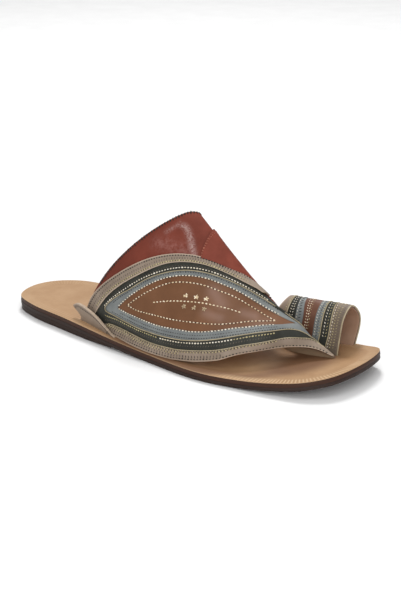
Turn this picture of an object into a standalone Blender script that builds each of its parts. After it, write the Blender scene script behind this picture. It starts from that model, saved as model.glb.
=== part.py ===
"""Right-foot arabic sandal: a flat leather sole, a high slip-on upper with a leaf-shaped
panel that runs down between the first two toes, and a loop for the big toe.

Metres. The last's frame: X from the back of the heel to the toe, Y towards the big-toe
side, Z up from the floor. One empty carries all pieces to the middle of their box.
"""

import bmesh
import bpy
import numpy as np

# Driving sizes of the sandal.
LENGTH = 0.285
BALL_WIDTH = 0.100
INSTEP = 0.085
HEEL_RISE = 0.0044
TOE_SPRING = 0.0097

# Thickness of each layer of leather, and the clearance between neighbours.
OUTSOLE = 0.0027
INSOLE = 0.0026
UPPER_WALL = 0.0022
TONGUE_TIP_WALL = 0.0009
LEAF = 0.0016
LEAF_TIP = 0.0008
FLAP = 0.0011
LOOP_WALL = 0.0024
TAB_WALL = 0.0018
GAP = 0.0003
OVERLAY_GAP = 0.0005
SOLE_CHAMFER = 0.0005
SOLE_END_TRIM = 0.0001
INSOLE_INSET = 0.0002
LIFT_INSET = 0.0003
SLOT_CUT_DEPTH = 0.02

# Where the sole's side profile changes, as shares of the length.
WAIST_START = 0.193
BALL_START = 0.579
SPRING_START = 0.702
LIFT_END = 0.395
LIFT_SKIVE_START = 0.300
LIFT_FRONT_EDGE = 0.0007

# Sole outline. Per cent of length along, per cent of ball width to each side of the axis.
SOLE_OUTLINE = (
    # along, lateral, medial
    (2.1, 19.2, 17.6),
    (8.8, 28.9, 31.7),
    (21.1, 35.7, 35.2),
    (36.8, 42.5, 32.6),
    (52.6, 46.9, 34.5),
    (66.7, 50.6, 43.9),
    (77.2, 46.9, 48.4),
    (86.0, 41.8, 46.7),
    (93.2, 33.8, 42.7),
    (98.0, 18.5, 38.0),
)
TOE_TIP_ACROSS = 15.5

# Upper sections from the collar to the tip of the tongue. Per cent of length along, per cent
# of ball width across, per cent of the instep above the insole, then the fullness of each
# wall at its base and at the crown, and where around the upper the leather is cut on each
# side (0 at the lateral edge, 0.5 on the crown, 1 where it reaches the insole again).
UPPER_SECTIONS = np.array((
    # lateral edge        crown               medial foot   lateral full  medial full   lateral, medial cut
    (26.4, -26.5, 0.0,    50.0, 13.0, 102.2,  37.5, 32.0,   0.60, 0.32,   0.60, 0.60,   0.000, 1.00),
    (35.4, -32.5, 0.0,    54.7, 11.0, 91.8,   42.1, 31.0,   0.52, 0.33,   0.58, 0.58,   0.000, 1.00),
    (43.5, -37.5, 0.0,    59.6, 10.0, 77.2,   46.7, 31.0,   0.46, 0.38,   0.57, 0.57,   0.000, 1.00),
    (51.2, -41.5, 0.0,    65.1, 9.5, 61.0,    51.9, 32.0,   0.42, 0.42,   0.55, 0.55,   0.000, 1.00),
    (57.9, -41.5, 0.0,    69.8, 9.5, 47.6,    56.5, 34.0,   0.42, 0.45,   0.53, 0.53,   0.000, 1.00),
    (67.4, -38.0, 4.1,    74.0, 10.5, 35.0,   64.2, 38.0,   0.40, 0.45,   0.50, 0.52,   0.045, 0.64),
    (74.0, -28.0, 10.0,   77.7, 11.5, 28.2,   70.8, 32.0,   0.40, 0.45,   0.47, 0.55,   0.070, 0.60),
    (79.3, -10.0, 10.6,   81.4, 12.7, 22.2,   75.2, 23.0,   0.40, 0.45,   0.45, 0.75,   0.075, 0.66),
    (83.5, 2.0, 9.4,      84.6, 13.0, 13.9,   77.2, 17.5,   0.40, 0.45,   0.50, 1.00,   0.120, 1.00),
    (87.0, 8.0, 6.5,      87.7, 13.0, 7.8,    83.5, 15.6,   0.40, 0.45,   0.50, 1.00,   0.225, 1.00),
    (90.4, 11.6, 0.6,     90.9, 12.8, 1.8,    91.1, 14.0,   0.40, 0.45,   0.45, 0.80,   0.350, 1.00),
))
WALL_LEAN = np.array((0.30, 0.09, 1.0))
CROWN_SKEW = 0.50
SKEW_FADE = (0.40, 0.62)

# The upper's stretches, as shares of the way from the collar (0) to the tongue's tip (1).
LATERAL_MARGIN_END = 0.40
MEDIAL_MARGIN_END = 0.40
TONGUE_MARGIN_START = 0.80
MARGIN_BLEND = 0.02
SKIVE_START = 0.70
EDGE_FULL_HEIGHT = 0.004
FREE_EDGE_ROLL = 0.00025

# Leaf panel: where each crosswise line starts on the lateral edge, and where it ends, along
# and around the upper (0 at the lateral edge, 0.5 on the crown, 1 at the medial edge).
LEAF_LINES = np.array((
    # start along, end along, end around
    (0.010, 0.002, 0.020),
    (0.060, 0.010, 0.072),
    (0.140, 0.033, 0.141),
    (0.220, 0.091, 0.257),
    (0.310, 0.180, 0.369),
    (0.400, 0.286, 0.467),
    (0.500, 0.400, 0.535),
    (0.600, 0.530, 0.620),
    (0.720, 0.690, 0.760),
    (0.860, 0.860, 0.975),
    (0.985, 0.985, 0.950),
))
LEAF_EDGE_TRIM = 0.010
LEAF_FOOT = 0.006

# Instep flap: its sewn back edge on the upper. Its front edge keeps clear of the leaf.
FLAP_BACK_EDGE = np.array((
    # around, along
    (0.407, 0.184),
    (0.446, 0.151),
    (0.494, 0.124),
    (0.560, 0.122),
    (0.660, 0.140),
    (0.820, 0.170),
    (0.970, 0.200),
))
FLAP_CLEARANCE = 0.014
FLAP_LEAF_END = 0.70
FLAP_CUT_END = 0.58

# Toe loop: its profile across the toe, as millimetres from the near foot and above the insole.
LOOP_PROFILE = np.array((
    # across, up
    (0.0, 0.0),
    (2.3, 11.0),
    (6.6, 24.0),
    (16.6, 30.6),
    (26.8, 23.5),
    (29.6, 14.0),
    (23.6, 0.0),
)) * 0.001
LOOP_REAR = 0.2035
LOOP_NEAR_REAR = 0.2135
LOOP_REAR_TURN = 0.35
LOOP_FRONT = 0.258
LOOP_NEAR_FOOT = 0.0184
LOOP_DRIFT = 0.0025

# Side tab: a pointed ear that stands outside the upper's rear end.
TAB_FRONT = (0.1030, -0.0376)
TAB_REAR = (0.0665, -0.0289)
TAB_FOOT_REAR = 0.0750
TAB_FRONT_HEIGHT = 0.0045
TAB_REAR_HEIGHT = 0.0105

# Mesh steps.
SOLE_STEPS = 56
LIFT_STEPS = 26
UPPER_RUNS = (13, 2, 13, 2, 8)
AROUND_STEPS = 26
SLOPE_STEP = 0.001
LEAF_RUNS = ((0.0, 0.70, 20), (0.70, 0.90, 14), (0.90, 1.0, 4))
LEAF_CROSS_STEPS = 20
EDGE_STEPS = 200
FLAP_STEPS = 20
FLAP_CROSS_STEPS = 12
LOOP_STEPS = 26
LOOP_CROSS_STEPS = 5
TAB_STEPS = 10
OUTLINE_STEPS = 24

# Leather finishes: linear colour and roughness.
SOLE_BROWN = ((0.045, 0.030, 0.022), 0.55)
INSOLE_TAN = ((0.50, 0.32, 0.19), 0.50)
RED_LEATHER = ((0.22, 0.060, 0.038), 0.30)
LEAF_BROWN = ((0.19, 0.090, 0.050), 0.40)
BAND_GREY = ((0.16, 0.17, 0.19), 0.50)
TAUPE = ((0.27, 0.22, 0.18), 0.55)
SHARP_ANGLE = 40


def smooth_step(low, high, x):
    t = np.clip((x - low) / (high - low), 0.0, 1.0)
    return t * t * (3.0 - 2.0 * t)


def unit(vectors):
    size = np.linalg.norm(vectors, axis=-1, keepdims=True)
    return vectors / np.maximum(size, 1e-12)


def spline_rows(rows, share):
    """Rows of a table, read as a smooth curve at shares 0 to 1 of its length."""
    last = len(rows) - 1
    place = np.clip(np.asarray(share, float), 0.0, 1.0) * last
    i = np.minimum(place.astype(int), last - 1)
    t = (place - i)[..., None]
    p1 = rows[i]
    p2 = rows[i + 1]
    p0 = np.where((i == 0)[..., None], 2 * p1 - p2, rows[np.maximum(i - 1, 0)])
    p3 = np.where((i == last - 1)[..., None], 2 * p2 - p1, rows[np.minimum(i + 2, last)])
    straight = 2 * p1 + (p2 - p0) * t
    bent = (2 * p0 - 5 * p1 + 4 * p2 - p3) * t ** 2 + (3 * p1 - p0 - 3 * p2 + p3) * t ** 3
    return 0.5 * (straight + bent)


def mix_between(a, b, start, end, t):
    return (a * (end - t) + b * (t - start)) / (end - start)


def closed_spline(points, steps):
    """A round curve through a closed ring of points, with no overshoot on short spans."""
    ring = []
    for i in range(len(points)):
        p = [points[(i + k) % len(points)] for k in (-1, 0, 1, 2)]
        spans = [np.linalg.norm(b - a) ** 0.5 for a, b in zip(p, p[1:])]
        k0, k1, k2, k3 = np.cumsum([0.0] + spans)
        for t in np.linspace(k1, k2, steps, endpoint=False):
            a = mix_between(p[0], p[1], k0, k1, t)
            b = mix_between(p[1], p[2], k1, k2, t)
            c = mix_between(p[2], p[3], k2, k3, t)
            ab = mix_between(a, b, k0, k2, t)
            bc = mix_between(b, c, k1, k3, t)
            ring.append(mix_between(ab, bc, k1, k2, t))
    return np.array(ring)


def sole_sides():
    """The outline's lateral and medial sides as dense runs from heel to toe."""
    table = np.array(SOLE_OUTLINE)
    along = table[:, 0] * LENGTH / 100
    lateral = np.stack([along, -table[:, 1] * BALL_WIDTH / 100], -1)
    medial = np.stack([along, table[:, 2] * BALL_WIDTH / 100], -1)
    heel = np.array([[0.0, 0.0]])
    tip = np.array([[LENGTH, TOE_TIP_ACROSS * BALL_WIDTH / 100]])
    ring = closed_spline(np.concatenate([heel, lateral, tip, medial[::-1]]), OUTLINE_STEPS)
    turn = (len(SOLE_OUTLINE) + 1) * OUTLINE_STEPS
    return ring[:turn + 1], np.concatenate([ring[turn:], ring[:1]])[::-1]


LATERAL_SIDE, MEDIAL_SIDE = sole_sides()


def sole_rise(x):
    """Height of the sole's underside: raised heel, waist, flat ball and toe spring."""
    heel = HEEL_RISE * (1 - smooth_step(WAIST_START * LENGTH, BALL_START * LENGTH, x))
    spring = np.clip((x / LENGTH - SPRING_START) / (1 - SPRING_START), 0.0, None)
    return heel + TOE_SPRING * spring ** 2


def outsole_top(x):
    return sole_rise(x) + OUTSOLE


def insole_under(x):
    return outsole_top(x) + GAP


def insole_top(x):
    return insole_under(x) + INSOLE


def upper_point(along, around):
    """A point on the upper's outer face, from the table of sections."""
    along, around = np.broadcast_arrays(np.asarray(along, float), np.asarray(around, float))
    row = spline_rows(UPPER_SECTIONS, along)
    skew = CROWN_SKEW * (1 - smooth_step(*SKEW_FADE, along))

    def place(along_percent, across_percent, up_percent):
        x = along_percent * LENGTH / 100
        height = np.maximum(up_percent, 0.0) * INSTEP / 100
        return np.stack([x, across_percent * BALL_WIDTH / 100, insole_top(x) + height], -1)

    lateral = place(row[..., 0], row[..., 1], row[..., 2])
    crown = place(row[..., 3], row[..., 4], row[..., 5])
    medial = place(row[..., 6], row[..., 7], 0.0)

    def wall(edge, base_full, crown_full, t):
        reach = crown - edge
        over = reach[..., 1:2] * np.stack([skew, np.ones_like(skew), np.zeros_like(skew)], -1)
        low = edge + base_full[..., None] * reach * WALL_LEAN
        high = crown - crown_full[..., None] * over
        t = t[..., None]
        foot = edge * (1 - t) ** 3 + 3 * low * t * (1 - t) ** 2
        return foot + 3 * high * t ** 2 * (1 - t) + crown * t ** 3

    near = wall(lateral, row[..., 8], row[..., 9], np.clip(2 * around, 0, 1))
    far = wall(medial, row[..., 10], row[..., 11], np.clip(2 - 2 * around, 0, 1))
    return np.where((around < 0.5)[..., None], near, far)


def lateral_cut(along):
    """Where around the upper the leather starts on the lateral side."""
    return np.maximum(spline_rows(UPPER_SECTIONS, along)[..., 12], 0.0)


def medial_cut(along):
    """Where around the upper the leather ends on the medial side."""
    return np.minimum(spline_rows(UPPER_SECTIONS, along)[..., 13], 1.0)


def upper_normal(along, around):
    """The outward direction on the upper, from its slopes along and around."""
    along, around = np.broadcast_arrays(np.asarray(along, float), np.asarray(around, float))
    ahead = upper_point(np.minimum(along + SLOPE_STEP, 1), around)
    behind = upper_point(np.maximum(along - SLOPE_STEP, 0), around)
    after = upper_point(along, np.minimum(around + SLOPE_STEP, 1))
    before = upper_point(along, np.maximum(around - SLOPE_STEP, 0))
    return unit(np.cross(ahead - behind, after - before))


def wall_at(along):
    """Wall of the upper, skived thin towards the tip of the tongue."""
    return UPPER_WALL + (TONGUE_TIP_WALL - UPPER_WALL) * smooth_step(SKIVE_START, 1.0, along)


def leather_material(name, finish):
    colour, roughness = finish
    material = bpy.data.materials.new(name)
    material.use_nodes = True
    shader = material.node_tree.nodes["Principled BSDF"]
    shader.inputs["Base Color"].default_value = (*colour, 1.0)
    shader.inputs["Roughness"].default_value = roughness
    shader.inputs["Metallic"].default_value = 0.0
    return material


def add_piece(name, vertices, faces, finish, parent):
    mesh = bpy.data.meshes.new(name)
    mesh.from_pydata([tuple(v) for v in vertices], [], faces)
    shape = bmesh.new()
    shape.from_mesh(mesh)
    bmesh.ops.recalc_face_normals(shape, faces=shape.faces[:])
    shape.to_mesh(mesh)
    shape.free()
    mesh.shade_smooth()
    mesh.set_sharp_from_angle(angle=np.radians(SHARP_ANGLE))
    mesh.materials.append(leather_material(name, finish))
    piece = bpy.data.objects.new(name, mesh)
    bpy.context.scene.collection.objects.link(piece)
    piece.parent = parent
    return piece


def shell(outer, inner):
    """Vertices and faces of a sheet: an outer and an inner grid, closed along the rim."""
    rows, columns = outer.shape[:2]
    vertices = np.concatenate([outer.reshape(-1, 3), inner.reshape(-1, 3)])
    under = rows * columns
    faces = []
    for i in range(rows - 1):
        for j in range(columns - 1):
            a = i * columns + j
            quad = (a, a + columns, a + columns + 1, a + 1)
            faces.append(quad)
            faces.append(tuple(under + k for k in reversed(quad)))
    rim = [i * columns for i in range(rows)]
    rim += [(rows - 1) * columns + j for j in range(1, columns)]
    rim += [i * columns + columns - 1 for i in range(rows - 2, -1, -1)]
    rim += list(range(columns - 2, 0, -1))
    for a, b in zip(rim, rim[1:] + rim[:1]):
        faces.append((b, a, under + a, under + b))
    return vertices, faces


def sole_slab(stations, low, high, inset):
    """A layer of the sole: chamfered sections between two heights, lofted heel to toe."""
    rings = []
    for x in stations:
        lateral = np.interp(x, LATERAL_SIDE[:, 0], LATERAL_SIDE[:, 1]) + inset
        medial = np.interp(x, MEDIAL_SIDE[:, 0], MEDIAL_SIDE[:, 1]) - inset
        bottom = low(x)
        top = high(x)
        cut = min(SOLE_CHAMFER, 0.2 * (medial - lateral), 0.3 * (top - bottom))
        rings.append((
            (x, lateral + cut, bottom), (x, medial - cut, bottom),
            (x, medial, bottom + cut), (x, medial, top - cut),
            (x, medial - cut, top), (x, lateral + cut, top),
            (x, lateral, top - cut), (x, lateral, bottom + cut),
        ))
    sides = len(rings[0])
    vertices = np.array(rings).reshape(-1, 3)
    faces = [tuple(range(sides)), tuple(range(len(vertices) - 1, len(vertices) - sides - 1, -1))]
    for i in range(len(rings) - 1):
        for k in range(sides):
            a = i * sides + k
            b = i * sides + (k + 1) % sides
            faces.append((a, b, b + sides, a + sides))
    return vertices, faces


def sole_stations(start, end, steps):
    """Places along the sole, closer together towards its two round ends."""
    turn = np.linspace(0, np.pi, steps)
    return start + (end - start) * (1 - np.cos(turn)) / 2


def upper_stations():
    """Places along the upper, with a line on each end of a margin."""
    marks = (0.0, LATERAL_MARGIN_END, LATERAL_MARGIN_END + MARGIN_BLEND,
             TONGUE_MARGIN_START - MARGIN_BLEND, TONGUE_MARGIN_START, 1.0)
    runs = [np.linspace(a, b, n, endpoint=False) for a, b, n in zip(marks, marks[1:], UPPER_RUNS)]
    return np.concatenate(runs + [[1.0]])


def is_margin(along, medial):
    """Whether the upper's edge goes down into the insole there."""
    rear = along <= (MEDIAL_MARGIN_END if medial else LATERAL_MARGIN_END) + 1e-9
    return rear | (medial & (along >= TONGUE_MARGIN_START - 1e-9))


def upper_edge(along, medial):
    """The outer and inner lines of the upper's edge on one side."""
    around = medial_cut(along) if medial else lateral_cut(along)
    outer = upper_point(along, around)
    out = upper_normal(along, around)
    height = outer[:, 2] - insole_top(outer[:, 0])
    out[:, 2] *= np.clip(height / EDGE_FULL_HEIGHT, 0, 1)
    return outer, outer - wall_at(along)[:, None] * unit(out)


def upper_solid():
    along = upper_stations()
    even = np.linspace(0, 1, AROUND_STEPS)[None, :]
    before_crown = np.minimum(2 * even - 1, 0.0)
    past_crown = np.maximum(2 * even - 1, 0.0)
    lateral = 0.5 - lateral_cut(along)[:, None]
    medial = medial_cut(along)[:, None] - 0.5
    around = 0.5 + before_crown * lateral + past_crown * medial
    outer = upper_point(along[:, None], around)
    inner = outer - wall_at(along)[:, None, None] * upper_normal(along[:, None], around)
    inner[:, 0] = upper_edge(along, False)[1]
    inner[:, -1] = upper_edge(along, True)[1]
    sheets = []
    for grid in (outer, inner):
        ends = []
        for medial, edge, beside in ((False, grid[:, 0], grid[:, 1]), (True, grid[:, -1], grid[:, -2])):
            tucked = edge.copy()
            tucked[:, 2] = insole_under(edge[:, 0])
            rolled = edge + FREE_EDGE_ROLL * unit(edge - beside)
            ends.append(np.where(is_margin(along, medial)[:, None], tucked, rolled))
        sheets.append(np.concatenate([ends[0][:, None], grid, ends[1][:, None]], axis=1))
    return shell(*sheets)


def leaf_line(share):
    """One crosswise line of the leaf panel: its start and its end on the upper."""
    start, end, end_around = np.moveaxis(spline_rows(LEAF_LINES, share), -1, 0)
    return start, end, np.minimum(end_around, medial_cut(end) - LEAF_EDGE_TRIM)


def leaf_solid():
    runs = [np.linspace(a, b, n, endpoint=False) for a, b, n in LEAF_RUNS]
    share = np.concatenate(runs + [[1.0]])[:, None]
    across = np.linspace(0, 1, LEAF_CROSS_STEPS)[None, :]
    start, end, end_around = leaf_line(share)
    along = start + (end - start) * across
    foot = lateral_cut(start) + LEAF_FOOT
    around = foot + (end_around - foot) * across
    base = upper_point(along, around)
    out = upper_normal(along, around)
    thickness = LEAF + (LEAF_TIP - LEAF) * smooth_step(SKIVE_START, 1.0, along)
    return shell(base + (OVERLAY_GAP + thickness)[..., None] * out, base + OVERLAY_GAP * out)


def flap_front(around):
    """The flap's front edge: clear of the leaf, then along the medial cut."""
    _, leaf_along, leaf_around = leaf_line(np.linspace(0, FLAP_LEAF_END, EDGE_STEPS))
    cut_along = np.linspace(MEDIAL_MARGIN_END, FLAP_CUT_END, EDGE_STEPS)[::-1]
    by_leaf = np.interp(around, leaf_around, leaf_along)
    by_cut = np.interp(around, medial_cut(cut_along), cut_along)
    return np.minimum(by_leaf, by_cut) - FLAP_CLEARANCE


def flap_solid():
    edge = spline_rows(FLAP_BACK_EDGE, np.linspace(0, 1, FLAP_STEPS))
    around = edge[:, :1]
    back = edge[:, 1:]
    across = np.linspace(0, 1, FLAP_CROSS_STEPS)[None, :]
    along, around = np.broadcast_arrays(back + (flap_front(around) - back) * across, around)
    base = upper_point(along, around)
    out = upper_normal(along, around)
    return shell(base + (OVERLAY_GAP + FLAP) * out, base + OVERLAY_GAP * out)


def loop_profile():
    """The toe loop's outer and inner lines across the toe, with tucked feet."""
    outer = spline_rows(LOOP_PROFILE, np.linspace(0, 1, LOOP_STEPS))
    run = np.gradient(outer, axis=0)
    run[0] = (0.0, 1.0)
    run[-1] = (0.0, -1.0)
    inward = unit(np.stack([run[:, 1], -run[:, 0]], -1))
    return outer, outer + LOOP_WALL * inward


def loop_rear(share):
    """The loop's rear edge from its near foot (0) to its far foot (1)."""
    return LOOP_NEAR_REAR + (LOOP_REAR - LOOP_NEAR_REAR) * smooth_step(0.0, LOOP_REAR_TURN, share)


def loop_drift(x):
    return LOOP_DRIFT * (LOOP_FRONT - x) / (LOOP_FRONT - LOOP_REAR)


def loop_solid():
    ends = np.array([0.0])
    share = np.concatenate([ends, np.linspace(0, 1, LOOP_STEPS), ends + 1])
    forward = np.linspace(0, 1, LOOP_CROSS_STEPS)[:, None]
    x = loop_rear(share) + (LOOP_FRONT - loop_rear(share)) * forward
    sheets = []
    for line in loop_profile():
        foot_down = np.array([[0.0, -INSOLE]])
        line = np.concatenate([line[:1] + foot_down, line, line[-1:] + foot_down])
        y = LOOP_NEAR_FOOT + loop_drift(x) + line[:, 0]
        sheets.append(np.stack([x, y, insole_top(x) + line[:, 1]], -1))
    return shell(*sheets)


def tab_point(along, up, side):
    """A point of the side tab: front to rear, from the insole's top (0) to the tab's top (1)
    with its foot in the slot below (-1), on the outer face (0) or the inner face (1)."""
    front = np.array(TAB_FRONT)
    rear = np.array(TAB_REAR)
    foot_x = front[0] + (TAB_FOOT_REAR - front[0]) * along
    top_x = front[0] + (rear[0] - front[0]) * along
    height = TAB_FRONT_HEIGHT + (TAB_REAR_HEIGHT - TAB_FRONT_HEIGHT) * along
    x = foot_x + (top_x - foot_x) * np.clip(up, 0, 1)
    slope = unit(rear - front)
    inward = np.array([slope[1], -slope[0]])
    y = front[1] + (x - front[0]) * slope[1] / slope[0]
    z = np.where(up < 0, insole_under(x), insole_top(x) + GAP + (height - GAP) * up)
    return np.stack([x + side * TAB_WALL * inward[0], y + side * TAB_WALL * inward[1], z], -1)


def tab_solid():
    along = np.linspace(0, 1, TAB_STEPS)[:, None]
    up = np.array([[-1.0, 0.0, 0.5, 1.0]])
    along, up = np.broadcast_arrays(along, up)
    return shell(tab_point(along, up, 0.0), tab_point(along, up, 1.0))


def slot_cutter(name, outer, inner, target):
    """Cut a slot through a layer, wider by the gap than the margin that stands in it."""
    out = unit((outer - inner)[:, :2])
    left = outer[:, :2] + GAP * out
    right = inner[:, :2] - GAP * out
    for line in (left, right):
        line[0] += 2 * GAP * unit(line[0] - line[1])
        line[-1] += 2 * GAP * unit(line[-1] - line[-2])
    ring = np.concatenate([left, right[::-1]])
    low = np.column_stack([ring, np.full(len(ring), -SLOT_CUT_DEPTH)])
    high = np.column_stack([ring, np.full(len(ring), 2 * SLOT_CUT_DEPTH)])
    count = len(ring)
    faces = [tuple(range(count)), tuple(range(2 * count - 1, count - 1, -1))]
    for k in range(count):
        after = (k + 1) % count
        faces.append((k, after, count + after, count + k))
    cutter = add_piece(name, np.concatenate([low, high]), faces, SOLE_BROWN, target.parent)
    cutter.hide_render = True
    cutter.display_type = "WIRE"
    cut = target.modifiers.new(name, "BOOLEAN")
    cut.operation = "DIFFERENCE"
    cut.solver = "EXACT"
    cut.object = cutter


def cut_slots(insole):
    along = upper_stations()
    rear = along[along <= LATERAL_MARGIN_END + MARGIN_BLEND + 1e-9]
    front = along[along >= TONGUE_MARGIN_START - MARGIN_BLEND - 1e-9]
    for name, run, medial in (("slot_lateral", rear, False), ("slot_medial", rear, True),
                              ("slot_tongue", front, True)):
        outer, inner = upper_edge(run, medial)
        slot_cutter(name, outer, inner, insole)
    outer, inner = loop_profile()
    for name, foot in (("slot_loop_near", 0), ("slot_loop_far", -1)):
        ends = np.array([loop_rear(-foot), LOOP_FRONT])
        near = LOOP_NEAR_FOOT + loop_drift(ends)
        lines = [np.stack([ends, near + face[foot, 0]], -1) for face in (outer, inner)]
        slot_cutter(name, lines[0], lines[1], insole)
    ends = np.array([0.0, 1.0])
    foot = np.array([-1.0, -1.0])
    slot_cutter("slot_tab", tab_point(ends, foot, 0.0), tab_point(ends, foot, 1.0), insole)


def lift_top(x):
    return sole_rise(x) - GAP


def lift_under(x):
    """Underside of the heel lift: flat on the floor, skived up to a thin front edge."""
    skive = smooth_step(LIFT_SKIVE_START * LENGTH, LIFT_END * LENGTH, x)
    return skive * (lift_top(LIFT_END * LENGTH) - LIFT_FRONT_EDGE)


def main():
    for old in list(bpy.data.objects):
        bpy.data.objects.remove(old)
    sandal = bpy.data.objects.new("sandal", None)
    bpy.context.scene.collection.objects.link(sandal)

    whole = sole_stations(SOLE_END_TRIM, LENGTH - SOLE_END_TRIM, SOLE_STEPS)
    heel = sole_stations(SOLE_END_TRIM, LIFT_END * LENGTH, LIFT_STEPS)
    insole_slab = sole_slab(whole, insole_under, insole_top, INSOLE_INSET)
    insole = add_piece("insole", *insole_slab, INSOLE_TAN, sandal)
    pieces = [
        insole,
        add_piece("outsole", *sole_slab(whole, sole_rise, outsole_top, 0.0), SOLE_BROWN, sandal),
        add_piece("heel_lift", *sole_slab(heel, lift_under, lift_top, LIFT_INSET), SOLE_BROWN, sandal),
        add_piece("upper", *upper_solid(), RED_LEATHER, sandal),
        add_piece("leaf_panel", *leaf_solid(), LEAF_BROWN, sandal),
        add_piece("instep_flap", *flap_solid(), RED_LEATHER, sandal),
        add_piece("toe_loop", *loop_solid(), BAND_GREY, sandal),
        add_piece("side_tab", *tab_solid(), TAUPE, sandal),
    ]
    cut_slots(insole)

    corners = np.array([v.co for piece in pieces for v in piece.data.vertices])
    middle = (corners.min(axis=0) + corners.max(axis=0)) / 2
    sandal.location = (-middle[0], -middle[1], 0.0)


main()
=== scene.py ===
"""Looks of a right-foot arabic sandal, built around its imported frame.

Metres. Shapes are worked out in the last's frame: X from the heel to the toe, Y towards the
big toe, Z up from the floor. FRAME_SHIFT carries them to the part's own frame.
"""

import math

import bpy
import numpy as np
from mathutils import Matrix


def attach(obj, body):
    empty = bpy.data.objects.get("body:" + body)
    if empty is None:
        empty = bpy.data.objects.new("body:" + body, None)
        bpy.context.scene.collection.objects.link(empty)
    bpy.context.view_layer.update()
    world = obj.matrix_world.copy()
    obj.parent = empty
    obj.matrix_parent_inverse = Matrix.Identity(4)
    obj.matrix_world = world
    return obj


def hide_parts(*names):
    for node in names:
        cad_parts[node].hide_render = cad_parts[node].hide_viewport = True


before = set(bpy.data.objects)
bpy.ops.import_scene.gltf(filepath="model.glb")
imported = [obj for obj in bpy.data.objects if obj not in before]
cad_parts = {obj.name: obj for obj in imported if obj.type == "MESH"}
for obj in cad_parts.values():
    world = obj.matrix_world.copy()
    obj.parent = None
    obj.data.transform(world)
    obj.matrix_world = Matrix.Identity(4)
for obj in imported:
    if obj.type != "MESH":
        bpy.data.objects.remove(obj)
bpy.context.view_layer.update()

MM = 0.001
DRAW = np.random.default_rng(7)

# The last and its leather layers, with the same sizes as the construction.
LENGTH = 0.285
BALL_WIDTH = 0.100
INSTEP = 0.085
HEEL_RISE = 0.0044
TOE_SPRING = 0.0097
OUTSOLE = 0.0027
INSOLE = 0.0026
UPPER_WALL = 0.0022
TONGUE_TIP_WALL = 0.0009
LOOP_WALL = 0.0024
TAB_WALL = 0.0018
GAP = 0.0003
LIFT_INSET = 0.0003
FRAME_SHIFT = np.array((-LENGTH / 2, 0.0, 0.0))

# Where the sole's side profile changes, as shares of the length.
WAIST_START = 0.193
BALL_START = 0.579
SPRING_START = 0.702
LIFT_END = 0.395
LIFT_SKIVE_START = 0.300
LIFT_FRONT_EDGE = 0.0007

# Sole outline. Per cent of length along, per cent of ball width to each side of the axis.
SOLE_OUTLINE = np.array((
    # along, lateral, medial
    (2.1, 19.2, 17.6),
    (8.8, 28.9, 31.7),
    (21.1, 35.7, 35.2),
    (36.8, 42.5, 32.6),
    (52.6, 46.9, 34.5),
    (66.7, 50.6, 43.9),
    (77.2, 46.9, 48.4),
    (86.0, 41.8, 46.7),
    (93.2, 33.8, 42.7),
    (98.0, 18.5, 38.0),
))
TOE_TIP_ACROSS = 15.5
OUTLINE_STEPS = 24
SOLE_MIDDLE = (0.032, 0.240)
SOLE_MIDDLE_ACROSS = 0.003

# Upper sections from the collar to the tip of the tongue. Per cent of length along, per cent
# of ball width across, per cent of the instep above the insole, then the fullness of each
# wall at its base and at the crown, and where around the upper the leather is cut on each
# side (0 at the lateral edge, 0.5 on the crown, 1 where it reaches the insole again).
UPPER_SECTIONS = np.array((
    # lateral edge        crown               medial foot   lateral full  medial full   lateral, medial cut
    (26.4, -26.5, 0.0,    50.5, 13.0, 102.0,  37.5, 32.0,   0.60, 0.36,   0.60, 0.60,   0.000, 1.00),
    (35.4, -32.5, 0.0,    54.7, 11.0, 91.8,   42.1, 31.0,   0.52, 0.33,   0.58, 0.58,   0.000, 1.00),
    (43.5, -37.5, 0.0,    59.6, 10.0, 77.2,   46.7, 31.0,   0.46, 0.38,   0.57, 0.57,   0.000, 1.00),
    (51.2, -41.5, 0.0,    65.1, 9.5, 61.0,    51.9, 32.0,   0.42, 0.42,   0.55, 0.55,   0.000, 1.00),
    (57.9, -41.5, 0.0,    69.8, 9.5, 47.6,    56.5, 34.0,   0.42, 0.45,   0.53, 0.53,   0.000, 1.00),
    (67.4, -38.0, 4.1,    74.0, 10.5, 35.0,   64.2, 38.0,   0.40, 0.45,   0.50, 0.52,   0.045, 0.64),
    (74.0, -28.0, 10.0,   77.7, 11.5, 28.2,   70.8, 32.0,   0.40, 0.45,   0.47, 0.55,   0.070, 0.60),
    (79.3, -10.0, 10.6,   81.4, 12.7, 22.2,   75.2, 23.0,   0.40, 0.45,   0.45, 0.75,   0.075, 0.66),
    (83.5, 2.0, 9.4,      84.6, 13.0, 13.9,   77.2, 17.5,   0.40, 0.45,   0.50, 1.00,   0.120, 1.00),
    (87.0, 8.0, 6.5,      87.7, 13.0, 7.8,    83.5, 15.6,   0.40, 0.45,   0.50, 1.00,   0.225, 1.00),
    (90.4, 11.6, 0.6,     90.9, 12.8, 1.8,    91.1, 14.0,   0.40, 0.45,   0.45, 0.80,   0.350, 1.00),
))
WALL_LEAN = np.array((0.30, 0.09, 1.0))
CROWN_SKEW = 0.50
SKEW_FADE = (0.40, 0.62)
SKIVE_START = 0.70
SLOPE_STEP = 0.001
LOOP_SLOPE_STEP = 0.004
REAR_MARGIN_END = 0.40
TONGUE_MARGIN_START = 0.80
MARGIN_TUCK = 0.002

# Leaf panel: where each crosswise line starts on the lateral edge, and where it ends, along
# and around the upper.
LEAF_LINES = np.array((
    # start along, end along, end around, in thousandths
    (10, 0, 18), (60, 3, 68), (140, 32, 141), (220, 91, 257), (310, 180, 369), (400, 286, 467),
    (500, 395, 590), (600, 520, 645), (720, 690, 760), (860, 860, 975), (985, 985, 950),
)) / 1000
# How far its upper border hangs over the upper's medial cut.
LEAF_CUT_LAP = 0.003
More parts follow.
